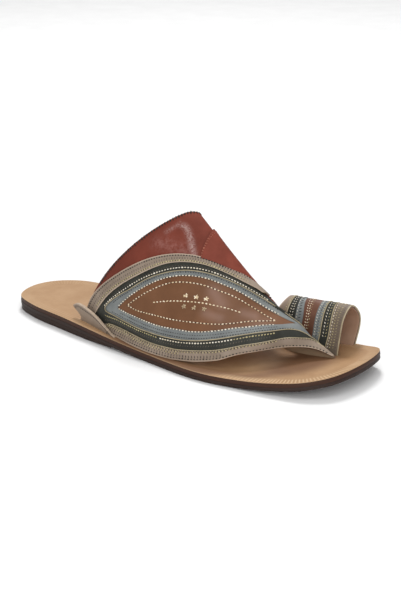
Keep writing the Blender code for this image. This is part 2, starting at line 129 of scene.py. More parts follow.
# How far the leaf's border hangs below the shell's cut edge.
LEAF_OVERHANG = np.array((
    # along, around
    (0.40, 0.004), (0.47, 0.030), (0.54, 0.050), (0.64, 0.030), (0.72, 0.004),
))
# How far its lower border stands out over the footbed.
LEAF_FLARE = np.array((
    # along, millimetres
    (0.04, 0.0), (0.12, 1.6), (0.22, 2.6), (0.30, 1.6), (0.38, 1.0), (0.47, 1.0), (0.60, 0.0),
))

# Inner edges of the leaf's bands. Each edge is a lens: a rear tip, a lower side, an upper side and
# a front tip. Here and below, places are thousandths of the way along and around the upper.
CHARCOAL_LENS = (
    (36, 5),
    ((76, 10), (110, 25), (165, 34), (235, 40), (305, 48), (370, 58), (430, 70), (493, 96), (565, 130),
     (634, 178), (690, 240), (754, 326), (790, 415), (825, 470), (900, 520)),
    ((43, 30), (58, 90), (78, 140), (100, 184), (150, 283), (220, 369), (293, 434), (378, 488),
     (440, 528), (520, 585), (610, 585), (690, 628), (770, 720), (870, 740)),
    (965, 600),
)
BLUE_GREY_LENS = (
    (69, 60),
    ((80, 52), (120, 56), (170, 62), (225, 70), (285, 86), (345, 101), (400, 118), (445, 142),
     (480, 175), (520, 219), (590, 286), (632, 332), (672, 383), (720, 432), (790, 500)),
    ((74, 76), (90, 108), (114, 148), (148, 223), (208, 313), (289, 399), (368, 453), (433, 489),
     (480, 520), (530, 556), (610, 570), (690, 600), (780, 650)),
    (880, 590),
)
BROWN_LENS = (
    (114, 82),
    ((170, 92), (256, 115), (344, 149), (411, 178), (455, 219), (504, 290), (565, 358), (620, 420)),
    ((139, 154), (191, 259), (267, 350), (340, 402), (430, 446), (517, 475), (600, 486)),
    (664, 504),
)
GOLD_LENS = (
    (141, 107),
    ((192, 118), (275, 156), (358, 196), (434, 244), (476, 294), (508, 349), (552, 394)),
    ((174, 185), (214, 259), (278, 327), (340, 368), (405, 403), (485, 428)),
    (582, 427),
)
LEAF_VEIN = ((213, 169), (276, 234), (339, 286), (415, 337), (461, 364))
STAR_ROWS = (
    # thread, first star, last star
    ("gold", (280, 266), (340, 311)),
    ("beige", (307, 235), (370, 278)),
)
STARS_IN_ROW = 3
REAR_TIP = (0.000, 0.004)
FRONT_TIP = (0.994, 0.640)

# How high each layer of the leaf lies on the upper, at its outer and inner edge, and its wall.
LAYERS = {
    # outer lift, inner lift, wall in millimetres
    "taupe": (1.0, 2.0, 0.9),
    "charcoal": (0.9, 1.6, 0.8),
    "blue_grey": (0.8, 1.25, 0.8),
    "brown": (0.8, 0.8, 0.7),
}
TUCK_UNDER = 0.25
# Where the taupe strip ends on the instep, how much of it is rounded, and how it springs up there.
STRIP_END = 0.68
STRIP_ROUNDING = 0.035
STRIP_SPRING = 0.9
STRIP_SPRING_SHARE = 0.15

# Instep flap: its sewn back edge on the upper.
FLAP_BACK_EDGE = np.array((
    # around, along, in thousandths
    (388, 202), (413, 179), (434, 164), (468, 143), (508, 126), (564, 120), (660, 140), (820, 170),
    (970, 200),
)) / 1000
FLAP_TUCK = 0.012
FLAP_LEAF_END = 0.70
FLAP_CUT_END = 0.58
FLAP_LIFT = 1.3
FLAP_FRONT_LIFT = 0.5
FLAP_FRONT_START = 0.85
FLAP_WALL = 1.1

# Toe loop: its profile across the toe, as millimetres from the near foot and above the insole.
LOOP_PROFILE = np.array((
    # across, up
    (0.0, 0.0), (2.3, 11.0), (6.6, 24.0), (16.6, 30.6), (26.8, 23.5), (29.6, 14.0), (23.6, 0.0),
)) * MM
LOOP_REAR = 0.2080
LOOP_FRONT = 0.258
LOOP_CROWN = 0.0010
# How its stripes spread from the top of the loop to its near side, and on to its near foot.
STRIPE_SPREAD = np.array((
    # along at the top, to the side, at the foot, in millimetres
    (208.0, -3.6, 5.5), (213.0, 0.6, 5.0), (218.0, 1.8, 4.0), (222.0, 4.2, 4.0),
    (236.0, 0.6, 0.0), (241.0, 1.2, 0.0), (247.0, 2.2, 0.5), (258.0, 0.0, 0.0),
))
NEAR_SIDE = (0.28, 0.50)
NEAR_FOOT = (0.00, 0.22)
LOOP_NEAR_FOOT = 0.0184
LOOP_DRIFT = 0.0025
LOOP_TUCK = 0.06

# Side tab: a pointed ear that stands outside the upper's rear end.
TAB_FRONT = np.array((0.1030, -0.0376))
TAB_REAR = np.array((0.0665, -0.0289))
TAB_END = 113.0
TAB_FOOT_DEPTH = 1.5
# Its hollow rear edge and its top edge, in millimetres.
TAB_REAR_EDGE = np.array((
    # share of the height, from the heel
    (0.00, 74.8), (0.25, 75.6), (0.50, 73.0), (0.75, 68.6), (0.90, 66.5), (1.00, 66.8),
))
TAB_TOP_EDGE = np.array((
    # share of the way to the rear, above the insole
    (0.00, 0.6), (0.12, 2.2), (0.30, 5.6), (0.45, 8.4), (0.58, 9.9), (0.72, 11.0), (0.84, 11.4),
    (0.93, 10.8), (1.00, 8.8),
))

# Creases that wear has left in the upper: places, then the half width and the height of the fold
# in millimetres.
GLAZE_CREASE = ((40, 342), (41, 371), (49, 397), (73, 405), (101, 400), (130, 388), (174, 374))
CREASES = (
    (GLAZE_CREASE, 2.2, 0.35),
    (((300, 400), (345, 350), (400, 300)), 6.0, -0.45),
    (((455, 410), (485, 375), (520, 320)), 5.0, -0.40),
)
# The painted highlight along the first crease and a faint painted sheen beside it: places, strength, half
# width in millimetres.
CREASE_HIGHLIGHT_RUNS = (
    (((42, 339), (41, 364), (44, 387), (60, 402)), 0.45, 1.5),
    (((56, 400), (75, 404), (99, 399), (127, 390), (153, 381), (180, 372)), 1.0, 1.9),
    (((27, 403), (36, 392)), 0.30, 0.9),
)
SHEEN_RUNS = (
    (((63, 296), (76, 308), (102, 320), (127, 338), (151, 357)), 1.0, 5.0),
)
# Painted highlights on the brown calf.
PAINTED_HIGHLIGHT_RUNS = (
    (((332, 350), (362, 345), (392, 338)), 1.0, 4.6),
    (((388, 270), (410, 277), (432, 287)), 0.8, 3.6),
    (((466, 372), (482, 382), (498, 392)), 0.8, 3.4),
)


def smooth_step(low, high, x):
    t = np.clip((x - low) / (high - low), 0.0, 1.0)
    return t * t * (3.0 - 2.0 * t)


def smooth_fall(low, high, x):
    return 1 - smooth_step(low, high, x)


def unit(vectors):
    size = np.linalg.norm(vectors, axis=-1, keepdims=True)
    return vectors / np.maximum(size, 1e-12)


def spline_rows(rows, share):
    """Rows of a table, read as a smooth curve at shares 0 to 1 of its length."""
    last = len(rows) - 1
    place = np.clip(share, 0.0, 1.0) * last
    i = np.minimum(place.astype(int), last - 1)
    t = (place - i)[..., None]
    p1 = rows[i]
    p2 = rows[i + 1]
    p0 = np.where((i == 0)[..., None], 2 * p1 - p2, rows[np.maximum(i - 1, 0)])
    p3 = np.where((i == last - 1)[..., None], 2 * p2 - p1, rows[np.minimum(i + 2, last)])
    straight = 2 * p1 + (p2 - p0) * t
    bent = (2 * p0 - 5 * p1 + 4 * p2 - p3) * t ** 2 + (3 * p1 - p0 - 3 * p2 + p3) * t ** 3
    return 0.5 * (straight + bent)


def mix_between(a, b, start, end, t):
    return (a * (end - t) + b * (t - start)) / (end - start)


def closed_spline(points, steps):
    """A round curve through a closed ring of points, with no overshoot on short spans."""
    ring = []
    for i in range(len(points)):
        p = [points[(i + k) % len(points)] for k in (-1, 0, 1, 2)]
        spans = [np.linalg.norm(b - a) ** 0.5 for a, b in zip(p, p[1:])]
        k0, k1, k2, k3 = np.cumsum([0.0] + spans)
        for t in np.linspace(k1, k2, steps, endpoint=False):
            a = mix_between(p[0], p[1], k0, k1, t)
            b = mix_between(p[1], p[2], k1, k2, t)
            c = mix_between(p[2], p[3], k2, k3, t)
            ab = mix_between(a, b, k0, k2, t)
            bc = mix_between(b, c, k1, k3, t)
            ring.append(mix_between(ab, bc, k1, k2, t))
    return np.array(ring)


def run_length(points):
    """Distance along a line of points, from its start to each point."""
    step = np.linalg.norm(np.diff(points, axis=0), axis=1)
    return np.concatenate([[0.0], np.cumsum(step)])


def read_line(line, at, where):
    """Columns of a line of points, read at places measured in the same way as at."""
    return np.stack([np.interp(where, at, column) for column in line.T], -1)


def apart(a, b):
    """Distance between points, in millimetres."""
    return np.linalg.norm(a - b, axis=-1) / MM


def edge_mark(distance_mm, width_mm):
    """Strength of a soft mark at a distance from its middle."""
    return np.exp(-(distance_mm / width_mm) ** 2)


def from_thousandths(places):
    return np.array(places) / 1000


# Heights of the sole's layers.

def sole_rise(x):
    """Height of the sole's underside: raised heel, waist, flat ball and toe spring."""
    heel = HEEL_RISE * smooth_fall(WAIST_START * LENGTH, BALL_START * LENGTH, x)
    spring = np.clip((x / LENGTH - SPRING_START) / (1 - SPRING_START), 0.0, None)
    return heel + TOE_SPRING * spring ** 2


def outsole_top(x):
    return sole_rise(x) + OUTSOLE


def insole_top(x):
    return outsole_top(x) + GAP + INSOLE


def lift_top(x):
    return sole_rise(x) - GAP


def lift_under(x):
    """Underside of the heel lift: flat on the floor, skived up to a thin front edge."""
    skive = smooth_step(LIFT_SKIVE_START * LENGTH, LIFT_END * LENGTH, x)
    return skive * (lift_top(LIFT_END * LENGTH) - LIFT_FRONT_EDGE)


class SoleSide:
    """One side of the sole's outline, from heel to toe, with the direction to the sole's middle."""

    def __init__(self, line):
        self.line = line
        run = run_length(line)
        self.length = run[-1]
        self.share = run / run[-1]
        middle = np.stack([np.clip(line[:, 0], *SOLE_MIDDLE), np.full(len(line), SOLE_MIDDLE_ACROSS)], -1)
        self.inward = unit(middle - line)

    def at(self, share, inset):
        edge = read_line(self.line, self.share, share)
        inward = unit(read_line(self.inward, self.share, share))
        return edge + inset[:, None] * inward

    def share_at(self, x):
        return np.interp(x, self.line[:, 0], self.share)


def sole_sides():
    along = SOLE_OUTLINE[:, 0] * LENGTH / 100
    lateral = np.stack([along, -SOLE_OUTLINE[:, 1] * BALL_WIDTH / 100], -1)
    medial = np.stack([along, SOLE_OUTLINE[:, 2] * BALL_WIDTH / 100], -1)
    heel = np.array([[0.0, 0.0]])
    tip = np.array([[LENGTH, TOE_TIP_ACROSS * BALL_WIDTH / 100]])
    ring = closed_spline(np.concatenate([heel, lateral, tip, medial[::-1]]), OUTLINE_STEPS)
    turn = (len(SOLE_OUTLINE) + 1) * OUTLINE_STEPS
    far = np.concatenate([ring[turn:], ring[:1]])[::-1]
    return SoleSide(ring[:turn + 1]), SoleSide(far)


LATERAL_SIDE, MEDIAL_SIDE = sole_sides()


# The upper's outer face and what lies on it.

def upper_point(along, around):
    """A point on the upper's outer face, from the table of sections."""
    row = spline_rows(UPPER_SECTIONS, along)
    skew = CROWN_SKEW * smooth_fall(*SKEW_FADE, along)

    def place(along_percent, across_percent, up_percent):
        x = along_percent * LENGTH / 100
        height = np.maximum(up_percent, 0.0) * INSTEP / 100
        return np.stack([x, across_percent * BALL_WIDTH / 100, insole_top(x) + height], -1)

    lateral = place(row[..., 0], row[..., 1], row[..., 2])
    crown = place(row[..., 3], row[..., 4], row[..., 5])
    medial = place(row[..., 6], row[..., 7], 0.0)

    def wall(edge, base_full, crown_full, t):
        reach = crown - edge
        over = reach[..., 1:2] * np.stack([skew, np.ones_like(skew), np.zeros_like(skew)], -1)
        low = edge + base_full[..., None] * reach * WALL_LEAN
        high = crown - crown_full[..., None] * over
        t = t[..., None]
        foot = edge * (1 - t) ** 3 + 3 * low * t * (1 - t) ** 2
        return foot + 3 * high * t ** 2 * (1 - t) + crown * t ** 3

    near = wall(lateral, row[..., 8], row[..., 9], np.clip(2 * around, 0, 1))
    far = wall(medial, row[..., 10], row[..., 11], np.clip(2 - 2 * around, 0, 1))
    return np.where((around < 0.5)[..., None], near, far)


def lateral_cut(along):
    return np.maximum(spline_rows(UPPER_SECTIONS, along)[..., 12], 0.0)


def medial_cut(along):
    return np.minimum(spline_rows(UPPER_SECTIONS, along)[..., 13], 1.0)


def upper_normal(along, around):
    """The outward direction on the upper, from its slopes along and around."""
    ahead = upper_point(np.minimum(along + SLOPE_STEP, 1), around)
    behind = upper_point(np.maximum(along - SLOPE_STEP, 0), around)
    after = upper_point(along, np.minimum(around + SLOPE_STEP, 1))
    before = upper_point(along, np.maximum(around - SLOPE_STEP, 0))
    return unit(np.cross(ahead - behind, after - before))


def upper_at(spots):
    """Points on the upper's outer face at rows of places."""
    return upper_point(*spots.T)


def distance_to_run(points, places):
    """Distance in millimetres from points to a smooth run of places on the upper."""
    run = spline_rows(from_thousandths(places), np.linspace(0, 1, 60))
    return apart(points[..., None, :], upper_at(run)).min(axis=-1)


def crease_height(points):
    """Height of the wear creases at points of the upper's outer face."""
    height = np.zeros(points.shape[:-1])
    for places, half_width, fold in CREASES:
        height += fold * MM * edge_mark(distance_to_run(points, places), half_width)
    return height


def skive(along):
    """Share of full thickness, thinned towards the tip of the tongue."""
    return 1 - 0.5 * smooth_step(SKIVE_START, 1.0, along)


def on_upper(along, around, lift_mm):
    """A point above the upper's outer face, following its creases."""
    base = upper_point(along, around)
    lift = lift_mm * MM * skive(along) + crease_height(base)
    return base + lift[..., None] * upper_normal(along, around)


class BandEdge:
    """A lens-shaped edge on the upper, with its lower and upper sides read by even shares."""

    def __init__(self, rear, lower, upper, front):
        self.sides = []
        for rows in (lower, upper):
            run = spline_rows(np.array([rear, *rows, front]), np.linspace(0, 1, 240))
            length = run_length(upper_at(run))
            self.sides.append((run, length / length[-1]))

    def at(self, side, share):
        run, length = self.sides[side]
        return read_line(run, length, share)


def leaf_outline():
    start, end, end_around = spline_rows(LEAF_LINES, np.linspace(0, 1, 40)).T
    overhang = np.interp(start, *LEAF_OVERHANG.T)
    lower = np.stack([start, np.maximum(lateral_cut(start) - overhang, 0)], -1)
    upper = np.stack([end, np.minimum(end_around, medial_cut(end) + LEAF_CUT_LAP)], -1)
    return BandEdge(REAR_TIP, lower, upper, FRONT_TIP)


LOWER, UPPER = 0, 1
OUTLINE_EDGE = leaf_outline()
CHARCOAL_EDGE, BLUE_GREY_EDGE, BROWN_EDGE, GOLD_EDGE = (
    BandEdge(*map(from_thousandths, lens))
    for lens in (CHARCOAL_LENS, BLUE_GREY_LENS, BROWN_LENS, GOLD_LENS))


def border_flare(outer, side, along, across):
    """How far the leaf's lower border leans out from the upper, in millimetres."""
    if outer is not OUTLINE_EDGE or side != LOWER:
        return np.zeros_like(along)
    return np.interp(along, *LEAF_FLARE.T) * (1 - across) ** 2


def between_edges(outer, inner, side, share, across):
    """Places on the upper between two edges of the leaf, across 0 on the outer one."""
    a = outer.at(side, share)
    b = inner.at(side, share)
    return a + (b - a) * np.asarray(across)[..., None]


# The toe loop's outer face.

def across_loop(share, top_mm):
    """Place along the sandal of a line that is top_mm from the heel on the top of the loop."""
    side = np.interp(top_mm, STRIPE_SPREAD[:, 0], STRIPE_SPREAD[:, 1])
    foot = np.interp(top_mm, STRIPE_SPREAD[:, 0], STRIPE_SPREAD[:, 2])
    shift = foot + (side - foot) * smooth_step(*NEAR_FOOT, share)
    return (top_mm + shift * smooth_fall(*NEAR_SIDE, share)) * MM


def loop_out(share):
    """The outward direction across the toe, as (across, up)."""
    ahead = spline_rows(LOOP_PROFILE, share + LOOP_SLOPE_STEP)
    run = ahead - spline_rows(LOOP_PROFILE, share - LOOP_SLOPE_STEP)
    return unit(np.stack([-run[..., 1], run[..., 0]], -1))


def on_loop(share, x, lift_mm):
    """A point above the loop's outer face. Shares below 0 and above 1 go down into the insole."""
    inside = np.clip(share, 0, 1)
    line = spline_rows(LOOP_PROFILE, inside) + np.asarray(lift_mm)[..., None] * MM * loop_out(inside)
    drop = np.abs(share - inside) / LOOP_TUCK * INSOLE
    drift = LOOP_DRIFT * (LOOP_FRONT - x) / (LOOP_FRONT - LOOP_REAR)
    y = LOOP_NEAR_FOOT + drift + line[..., 0]
    over = np.clip((x - LOOP_REAR) / (LOOP_FRONT - LOOP_REAR), 0, 1)
    crown = LOOP_CROWN * 4 * over * (1 - over) * np.sin(np.pi * inside)
    return np.stack([x, y, insole_top(x) + line[..., 1] + crown - drop], -1)


# Modelling steps that every piece shares.

# The order of a piece's materials, the angle past which an edge counts as cut, the angle up to which
# piping looks round, and how far from its edge a strip turns down, in millimetres.
FACE_SLOT, CUT_EDGE_SLOT, LINING_SLOT = 0, 1, 2
SHARP_ANGLE = math.radians(50)
ROUND_ANGLE = math.radians(60)
EDGE_TURN = 0.7


def soft_edge_profile(across):
    """Spread grid lines so that most of them lie near a band's two edges."""
    return smooth_step(0.0, 1.0, across)


def add_object(name, data):
    thing = bpy.data.objects.new(name, data)
    bpy.context.scene.collection.objects.link(thing)
    return thing


def in_edit_mode(step, **settings):
    """Take one mesh step on the whole of the active piece."""
    bpy.ops.object.mode_set(mode="EDIT")
    bpy.ops.mesh.select_all(action="SELECT")
    step(**settings)
    bpy.ops.object.mode_set(mode="OBJECT")


def leather_sheet(name, place, steps, materials, flip):
    """Lay a flat grid of leather on its form. place(p, w) gives points and painted marks.

    flip turns the faces over, where the form's two directions make them face the foot.
    """
    bpy.ops.object.select_all(action="DESELECT")
    bpy.ops.mesh.primitive_grid_add(x_subdivisions=steps[0], y_subdivisions=steps[1], size=1)
    piece = bpy.context.object
    piece.name = name
    mesh = piece.data
    mesh.name = name
    flat = np.array([vertex.co for vertex in mesh.vertices]) + 0.5
    points, marks = place(flat[:, 0], flat[:, 1])
    mesh.vertices.foreach_set("co", (points + FRAME_SHIFT).ravel())
    for mark, values in marks.items():
        layer = mesh.attributes.new(mark, "FLOAT", "POINT")
        layer.data.foreach_set("value", np.broadcast_to(values, len(flat)).astype(np.float32))
    for material in materials:
        mesh.materials.append(material)
    in_edit_mode(bpy.ops.mesh.remove_doubles, threshold=0.01 * MM)
    if flip:
        in_edit_mode(bpy.ops.mesh.flip_normals)
    return piece


def give_wall(piece, wall_mm, soft_mm, lining_slot, share_of_wall):
    """Give a sheet its wall towards the foot and soften its cut edges."""
    wall = piece.modifiers.new("wall", "SOLIDIFY")
    wall.thickness = wall_mm * MM
    wall.offset = -1
    wall.material_offset_rim = min(CUT_EDGE_SLOT, len(piece.data.materials) - 1)
    wall.material_offset = lining_slot
    if share_of_wall:
        group = piece.vertex_groups.new(name="wall")
        for vertex in piece.data.vertices:
            point = np.array(vertex.co) - FRAME_SHIFT
            group.add([vertex.index], float(share_of_wall(point)), "REPLACE")
        wall.vertex_group = "wall"
        wall.thickness_vertex_group = 0.0
    soft = piece.modifiers.new("soft_edges", "BEVEL")
    soft.width = soft_mm * MM
    soft.segments = 2
    soft.limit_method = "ANGLE"
    soft.angle_limit = SHARP_ANGLE
    for step in ("wall", "soft_edges"):
        bpy.ops.object.modifier_apply(modifier=step)
    bpy.ops.object.shade_smooth_by_angle(angle=SHARP_ANGLE)


def settle(piece, node=None):
    """Fix a piece to the sandal's one body, in the place of its construction node."""
    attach(piece, "root")
    if node:
        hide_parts(node)


def leather_piece(name, place, steps, materials, wall_mm, soft_mm, node, lining_slot=FACE_SLOT,
                  share_of_wall=None, flip=False):
    """A finished piece of leather: its sheet, its wall and its place on the sandal."""
    piece = leather_sheet(name, place, steps, materials, flip)
    give_wall(piece, wall_mm, soft_mm, lining_slot, share_of_wall)
    settle(piece, node)


def turned_edge(depth_mm, distance_mm):
    """How far a strip's edge turns down at a distance from it."""
    return depth_mm * np.exp(-distance_mm / EDGE_TURN)


def run_marks(points, runs):
    """The strongest of several soft runs at points of the upper."""
    return np.max([strength * edge_mark(distance_to_run(points, places), half_width)
                   for places, strength, half_width in runs], axis=0)


# Materials.

def linear(hex_colour):
    """An sRGB hex colour as linear red, green, blue and alpha."""
    values = [int(hex_colour[i:i + 2], 16) / 255 for i in (1, 3, 5)]
    return tuple(v / 12.92 if v <= 0.04045 else ((v + 0.055) / 1.055) ** 2.4 for v in values) + (1.0,)


def per_metre(size_mm):
    """Texture scale that gives features of a size in millimetres."""
    return 1.0 / (size_mm * MM)


def feed(tree, node, feeds):
    """Give each input of a node a value or another node's output."""
    for socket, source in feeds.items():
        if isinstance(source, bpy.types.NodeSocket):
            tree.links.new(source, node.inputs[socket])
        else:
            node.inputs[socket].default_value = source


def add_node(tree, kind, feeds=None, **settings):
    """Add a shader node with its settings and what feeds its inputs."""
    node = tree.nodes.new("ShaderNode" + kind)
    for key, value in settings.items():
        setattr(node, key, value)
    feed(tree, node, feeds or {})
    return node


def new_material(name):
    """A material with its node tree, its shader and the place on the piece that patterns read."""
    material = bpy.data.materials.new(name)
    material.use_nodes = True
    tree = material.node_tree
    return material, tree, tree.nodes["Principled BSDF"], add_node(tree, "TexCoord").outputs["Object"]


def two_tones(tree, factor, deep, face, low=0.3, high=0.7):
    """Blend from a deep to a light tone over part of a pattern's range."""
    spread = add_node(tree, "MapRange", {"Value": factor, "From Min": low, "From Max": high})
    mixed = add_node(tree, "MixRGB", {
        "Fac": spread.outputs["Result"], "Color1": linear(deep), "Color2": linear(face)})
    return mixed.outputs["Color"]


def leather(name, face, deep, pore_mm, relief, roughness, coat=0.0, shine=0.3, cloud_mm=16.0, marks=()):
    """Grained leather: cloudy dye, fine pores, and painted marks such as cut edges, painted shade and painted
    highlights.

    Real pores and grain are too fine to show in the render, so they are drawn a few times coarser.
    marks: (attribute, colour, weight, size in millimetres of the flecks that break it up, or 0).
    """
    material, tree, shader, place = new_material(name)
    cloud = add_node(tree, "TexNoise", {
        "Vector": place, "Scale": per_metre(cloud_mm), "Detail": 5.0, "Roughness": 0.6}).outputs["Fac"]
    colour = two_tones(tree, cloud, deep, face)
    for attribute, tone, weight, fleck_mm in marks:
        painted = add_node(tree, "Attribute", attribute_name=attribute).outputs["Fac"]
        strength = add_node(tree, "Math", {0: painted, 1: weight}, operation="MULTIPLY").outputs[0]
        if fleck_mm:
            flecks = add_node(tree, "TexNoise", {
                "Vector": place, "Scale": per_metre(fleck_mm), "Detail": 4.0, "Roughness": 0.7})
            broken = add_node(tree, "MapRange", {
                "Value": flecks.outputs["Fac"], "From Min": 0.35, "From Max": 0.65})
            strength = add_node(tree, "Math", {0: strength, 1: broken.outputs["Result"]},
                                operation="MULTIPLY").outputs[0]
        colour = add_node(tree, "MixRGB", {
            "Fac": strength, "Color1": colour, "Color2": linear(tone)}).outputs["Color"]
    pores = add_node(tree, "TexVoronoi", {"Vector": place, "Scale": per_metre(pore_mm)})
    grain = add_node(tree, "TexNoise", {"Vector": place, "Scale": per_metre(0.4 * pore_mm), "Detail": 2.0})
    height = add_node(tree, "Math", {
        0: pores.outputs["Distance"], 1: grain.outputs["Fac"]}, operation="ADD").outputs[0]
    bump = add_node(tree, "Bump", {"Height": height, "Strength": relief, "Distance": 0.25 * MM})
    gloss = add_node(tree, "MapRange", {
        "Value": cloud, "From Min": 0.3, "From Max": 0.7,
        "To Min": roughness + 0.07, "To Max": roughness - 0.05})
    feed(tree, shader, {
        "Base Color": colour, "Roughness": gloss.outputs["Result"], "Normal": bump.outputs["Normal"],
        "IOR": 1.45, "Specular IOR Level": shine, "Coat Weight": coat, "Coat Roughness": 0.22})
    return material


def burnished_edge(name, face, deep):
    """Dyed sole leather, waxed and rubbed: dark, with faint lines along its layers."""
    material, tree, shader, place = new_material(name)
    flat = add_node(tree, "Mapping", {"Vector": place, "Scale": (1.0, 1.0, 14.0)}).outputs["Vector"]
    layers = add_node(tree, "TexNoise", {
        "Vector": flat, "Scale": per_metre(9.0), "Detail": 4.0, "Roughness": 0.65}).outputs["Fac"]
    bump = add_node(tree, "Bump", {"Height": layers, "Strength": 0.35, "Distance": 0.3 * MM})
    gloss = add_node(tree, "MapRange", {"Value": layers, "To Min": 0.40, "To Max": 0.66})
    feed(tree, shader, {
        "Base Color": two_tones(tree, layers, deep, face), "Roughness": gloss.outputs["Result"],
        "Normal": bump.outputs["Normal"], "Specular IOR Level": 0.25})
    return material


def thread(name, face, deep):
    """Waxed cotton thread: matte, its tone changing a little from stitch to stitch."""
    material, tree, shader, place = new_material(name)
    tone = add_node(tree, "Attribute", attribute_name="tone").outputs["Fac"]
    twist = add_node(tree, "TexNoise", {
        "Vector": place, "Scale": per_metre(0.5), "Detail": 1.0}).outputs["Fac"]
    both = add_node(tree, "Math", {0: tone, 1: twist}, operation="ADD").outputs[0]
    bump = add_node(tree, "Bump", {"Height": twist, "Strength": 0.4, "Distance": 0.15 * MM})
    feed(tree, shader, {"Base Color": two_tones(tree, both, deep, face, 0.2, 1.6), "Roughness": 0.62,
                        "Normal": bump.outputs["Normal"]})
    return material


def studio_paper():
    """Matte white sheet of a photo studio: almost even, with the faintest tooth.

    Real tooth is too fine to show in the render, so it is drawn as wide, faint clouds.
    """
    material, tree, shader, place = new_material("studio_paper")
    tooth = add_node(tree, "TexNoise", {"Vector": place, "Scale": per_metre(40.0), "Detail": 2.0})
    feed(tree, shader, {"Base Color": two_tones(tree, tooth.outputs["Fac"], "#f6f6f6", "#fafafa"),
                        "Roughness": 0.9, "Specular IOR Level": 0.1})
    return material


# Glazed calf, dyed brick red: a soft gloss, with painted shade low on its lateral side, a painted highlight
# along its crease and a faint painted sheen beside it.
RED_CALF = leather("glazed_red_calf", "#8c483a", "#743a2e", 1.3, 0.10, 0.42, shine=0.12, marks=(
    ("side_shade", "#602e24", 0.45, 0), ("sheen", "#ab7a72", 0.45, 2.6), ("crease_highlight", "#dcc4be", 0.62, 1.2),
    ("rim", "#5a2b22", 0.35, 0), ("tongue", "#8f8173", 0.95, 0)))
# Waxed edge of the red calf: brown, a little worn.
WAXED_EDGE = leather("waxed_cut_edge", "#7c6153", "#553d32", 0.8, 0.25, 0.50, cloud_mm=5.0)
# Natural kip on the inside: smooth, pinkish brown, greyer in the tongue and the toe loop.
LINING_KIP = leather("pinkish_lining_kip", "#c9a48f", "#b08873", 1.5, 0.15, 0.46, marks=(
    ("tongue", "#927c63", 0.95, 0),))
# Goatskin strips, drum dyed: fine pebbled grain, nearly matte. The taupe is pale where it is cut and gets
# painted shade on the loop's near side; on the others, shade is painted along their edges.
TAUPE_GOAT = leather("taupe_goatskin", "#a19081", "#897a6b", 1.1, 0.16, 0.50, marks=(
    ("rim", "#cdb9a4", 0.85, 0), ("seam", "#4f453d", 0.7, 0), ("side_shade", "#564c40", 0.65, 0)))
CHARCOAL_GOAT = leather("charcoal_goatskin", "#42433d", "#2b2c27", 1.1, 0.18, 0.50, shine=0.22, marks=(
    ("rim", "#171712", 0.6, 0),))
BLUE_GREY_GOAT = leather("blue_grey_goatskin", "#878b89", "#6f7374", 1.1, 0.18, 0.42, marks=(
    ("rim", "#5a5b59", 0.5, 0),))
# Brown calf of the leaf's centre: satin, warm, with soft painted highlights.
BROWN_CALF = leather("polished_brown_calf", "#7c553b", "#69462e", 1.3, 0.12, 0.36, coat=0.05, cloud_mm=22.0,
                     marks=(("painted_highlight", "#b3958a", 0.27, 0),))
# The loop's calf: redder and plainer.
LOOP_BROWN_CALF = leather("red_brown_calf", "#745040", "#5a3a2b", 1.3, 0.14, 0.38, coat=0.04)
# Raw cut edge of a strip: pale, fibrous, quite matte.
CUT_EDGE = leather("raw_cut_edge", "#c4b09a", "#9b8876", 0.7, 0.30, 0.65, cloud_mm=4.0)
# The same edge inked: nearly black, a little smoother.
DARK_EDGE = leather("inked_cut_edge", "#2c1a15", "#1d110e", 0.8, 0.25, 0.50, cloud_mm=5.0)
# Vegetable-tanned footbed: natural tan, smooth, paler where the tool has burnished it, with painted shade
# beside and before the leaf.
TAN_FOOTBED = leather("vegetable_tanned_footbed", "#be9a75", "#a8825d", 1.6, 0.14, 0.44, cloud_mm=30.0,
                      marks=(("tick", "#dcc09a", 0.75, 0), ("shade", "#6c4a33", 0.85, 0),
                             ("rim", "#d3b48a", 0.6, 0)))
# Sole edges, dyed, waxed and rubbed: dark, with faint lines along their layers.
SOLE_EDGE = burnished_edge("burnished_sole_edge", "#3a2922", "#261a15")
INSOLE_EDGE = burnished_edge("burnished_insole_edge", "#472a1c", "#341e14")
# Piping cut from cream kid, smooth and slightly shiny.
CREAM_PIPING = leather("cream_kid_piping", "#bfb193", "#978a6b", 0.8, 0.15, 0.42, cloud_mm=6.0)
# Waxed cotton threads: matte, uneven from stitch to stitch.
THREADS = {key: thread(dye + "_waxed_thread", face, deep) for key, dye, face, deep in (
    ("cream", "cream", "#fbf4e6", "#d6c8ab"),
    ("gold", "gold", "#fcefd6", "#dcc296"),
    ("olive", "olive", "#cfc292", "#988a60"),
    ("dark", "black", "#2a2420", "#14100d"),
    ("dun", "dun", "#665a4c", "#463c33"),
    ("beige", "beige", "#cdb795", "#8f7a5e"),
    ("red", "red", "#b06a52", "#7d3a2a"))}


# The sole.

# Ticks tooled around the footbed, in millimetres: they start and end at distances from its edge.
TICK_PITCH = 2.7
TICK_DEPTH = 0.22
TICK_START = 1.5
TICK_END = 8.4
POINTS_PER_TICK = 6
# How clear they are: faint everywhere, clearer on the forefoot's lateral and medial side.
TICK_FAINT = 0.26
TICK_LATERAL = 0.74
TICK_MEDIAL = 0.40
FOREFOOT = (0.185, 0.228)
# The band along each edge that follows the outline, in millimetres and as a share of the grid.
RIM_BAND = 10.0
RIM_SHARE = 0.36
# Painted shade on the footbed beside and in front of the leaf, in millimetres: from where it starts behind
# the leaf, away from the edge at the ball, fading under the leaf but not before it, to its medial side.
SHADE_REAR = (90, 125)
SHADE_BALL = (188, 214)
UNDER_LEAF = (4, 20)
BEFORE_LEAF = (216, 236)
SHADE_MEDIAL = (16, 28)
SHADE_SOFTNESS = 9
# Where it ends.
SHADE_FRONT = np.array((
    # across, along, in millimetres
    (-40.0, 227.0), (-28.0, 243.0), (-18.0, 254.0), (-6.0, 260.0), (8.0, 262.0), (25.0, 261.0),
))
# The gap that gluing presses out between two layers.
LAYER_CLOSING = 0.25


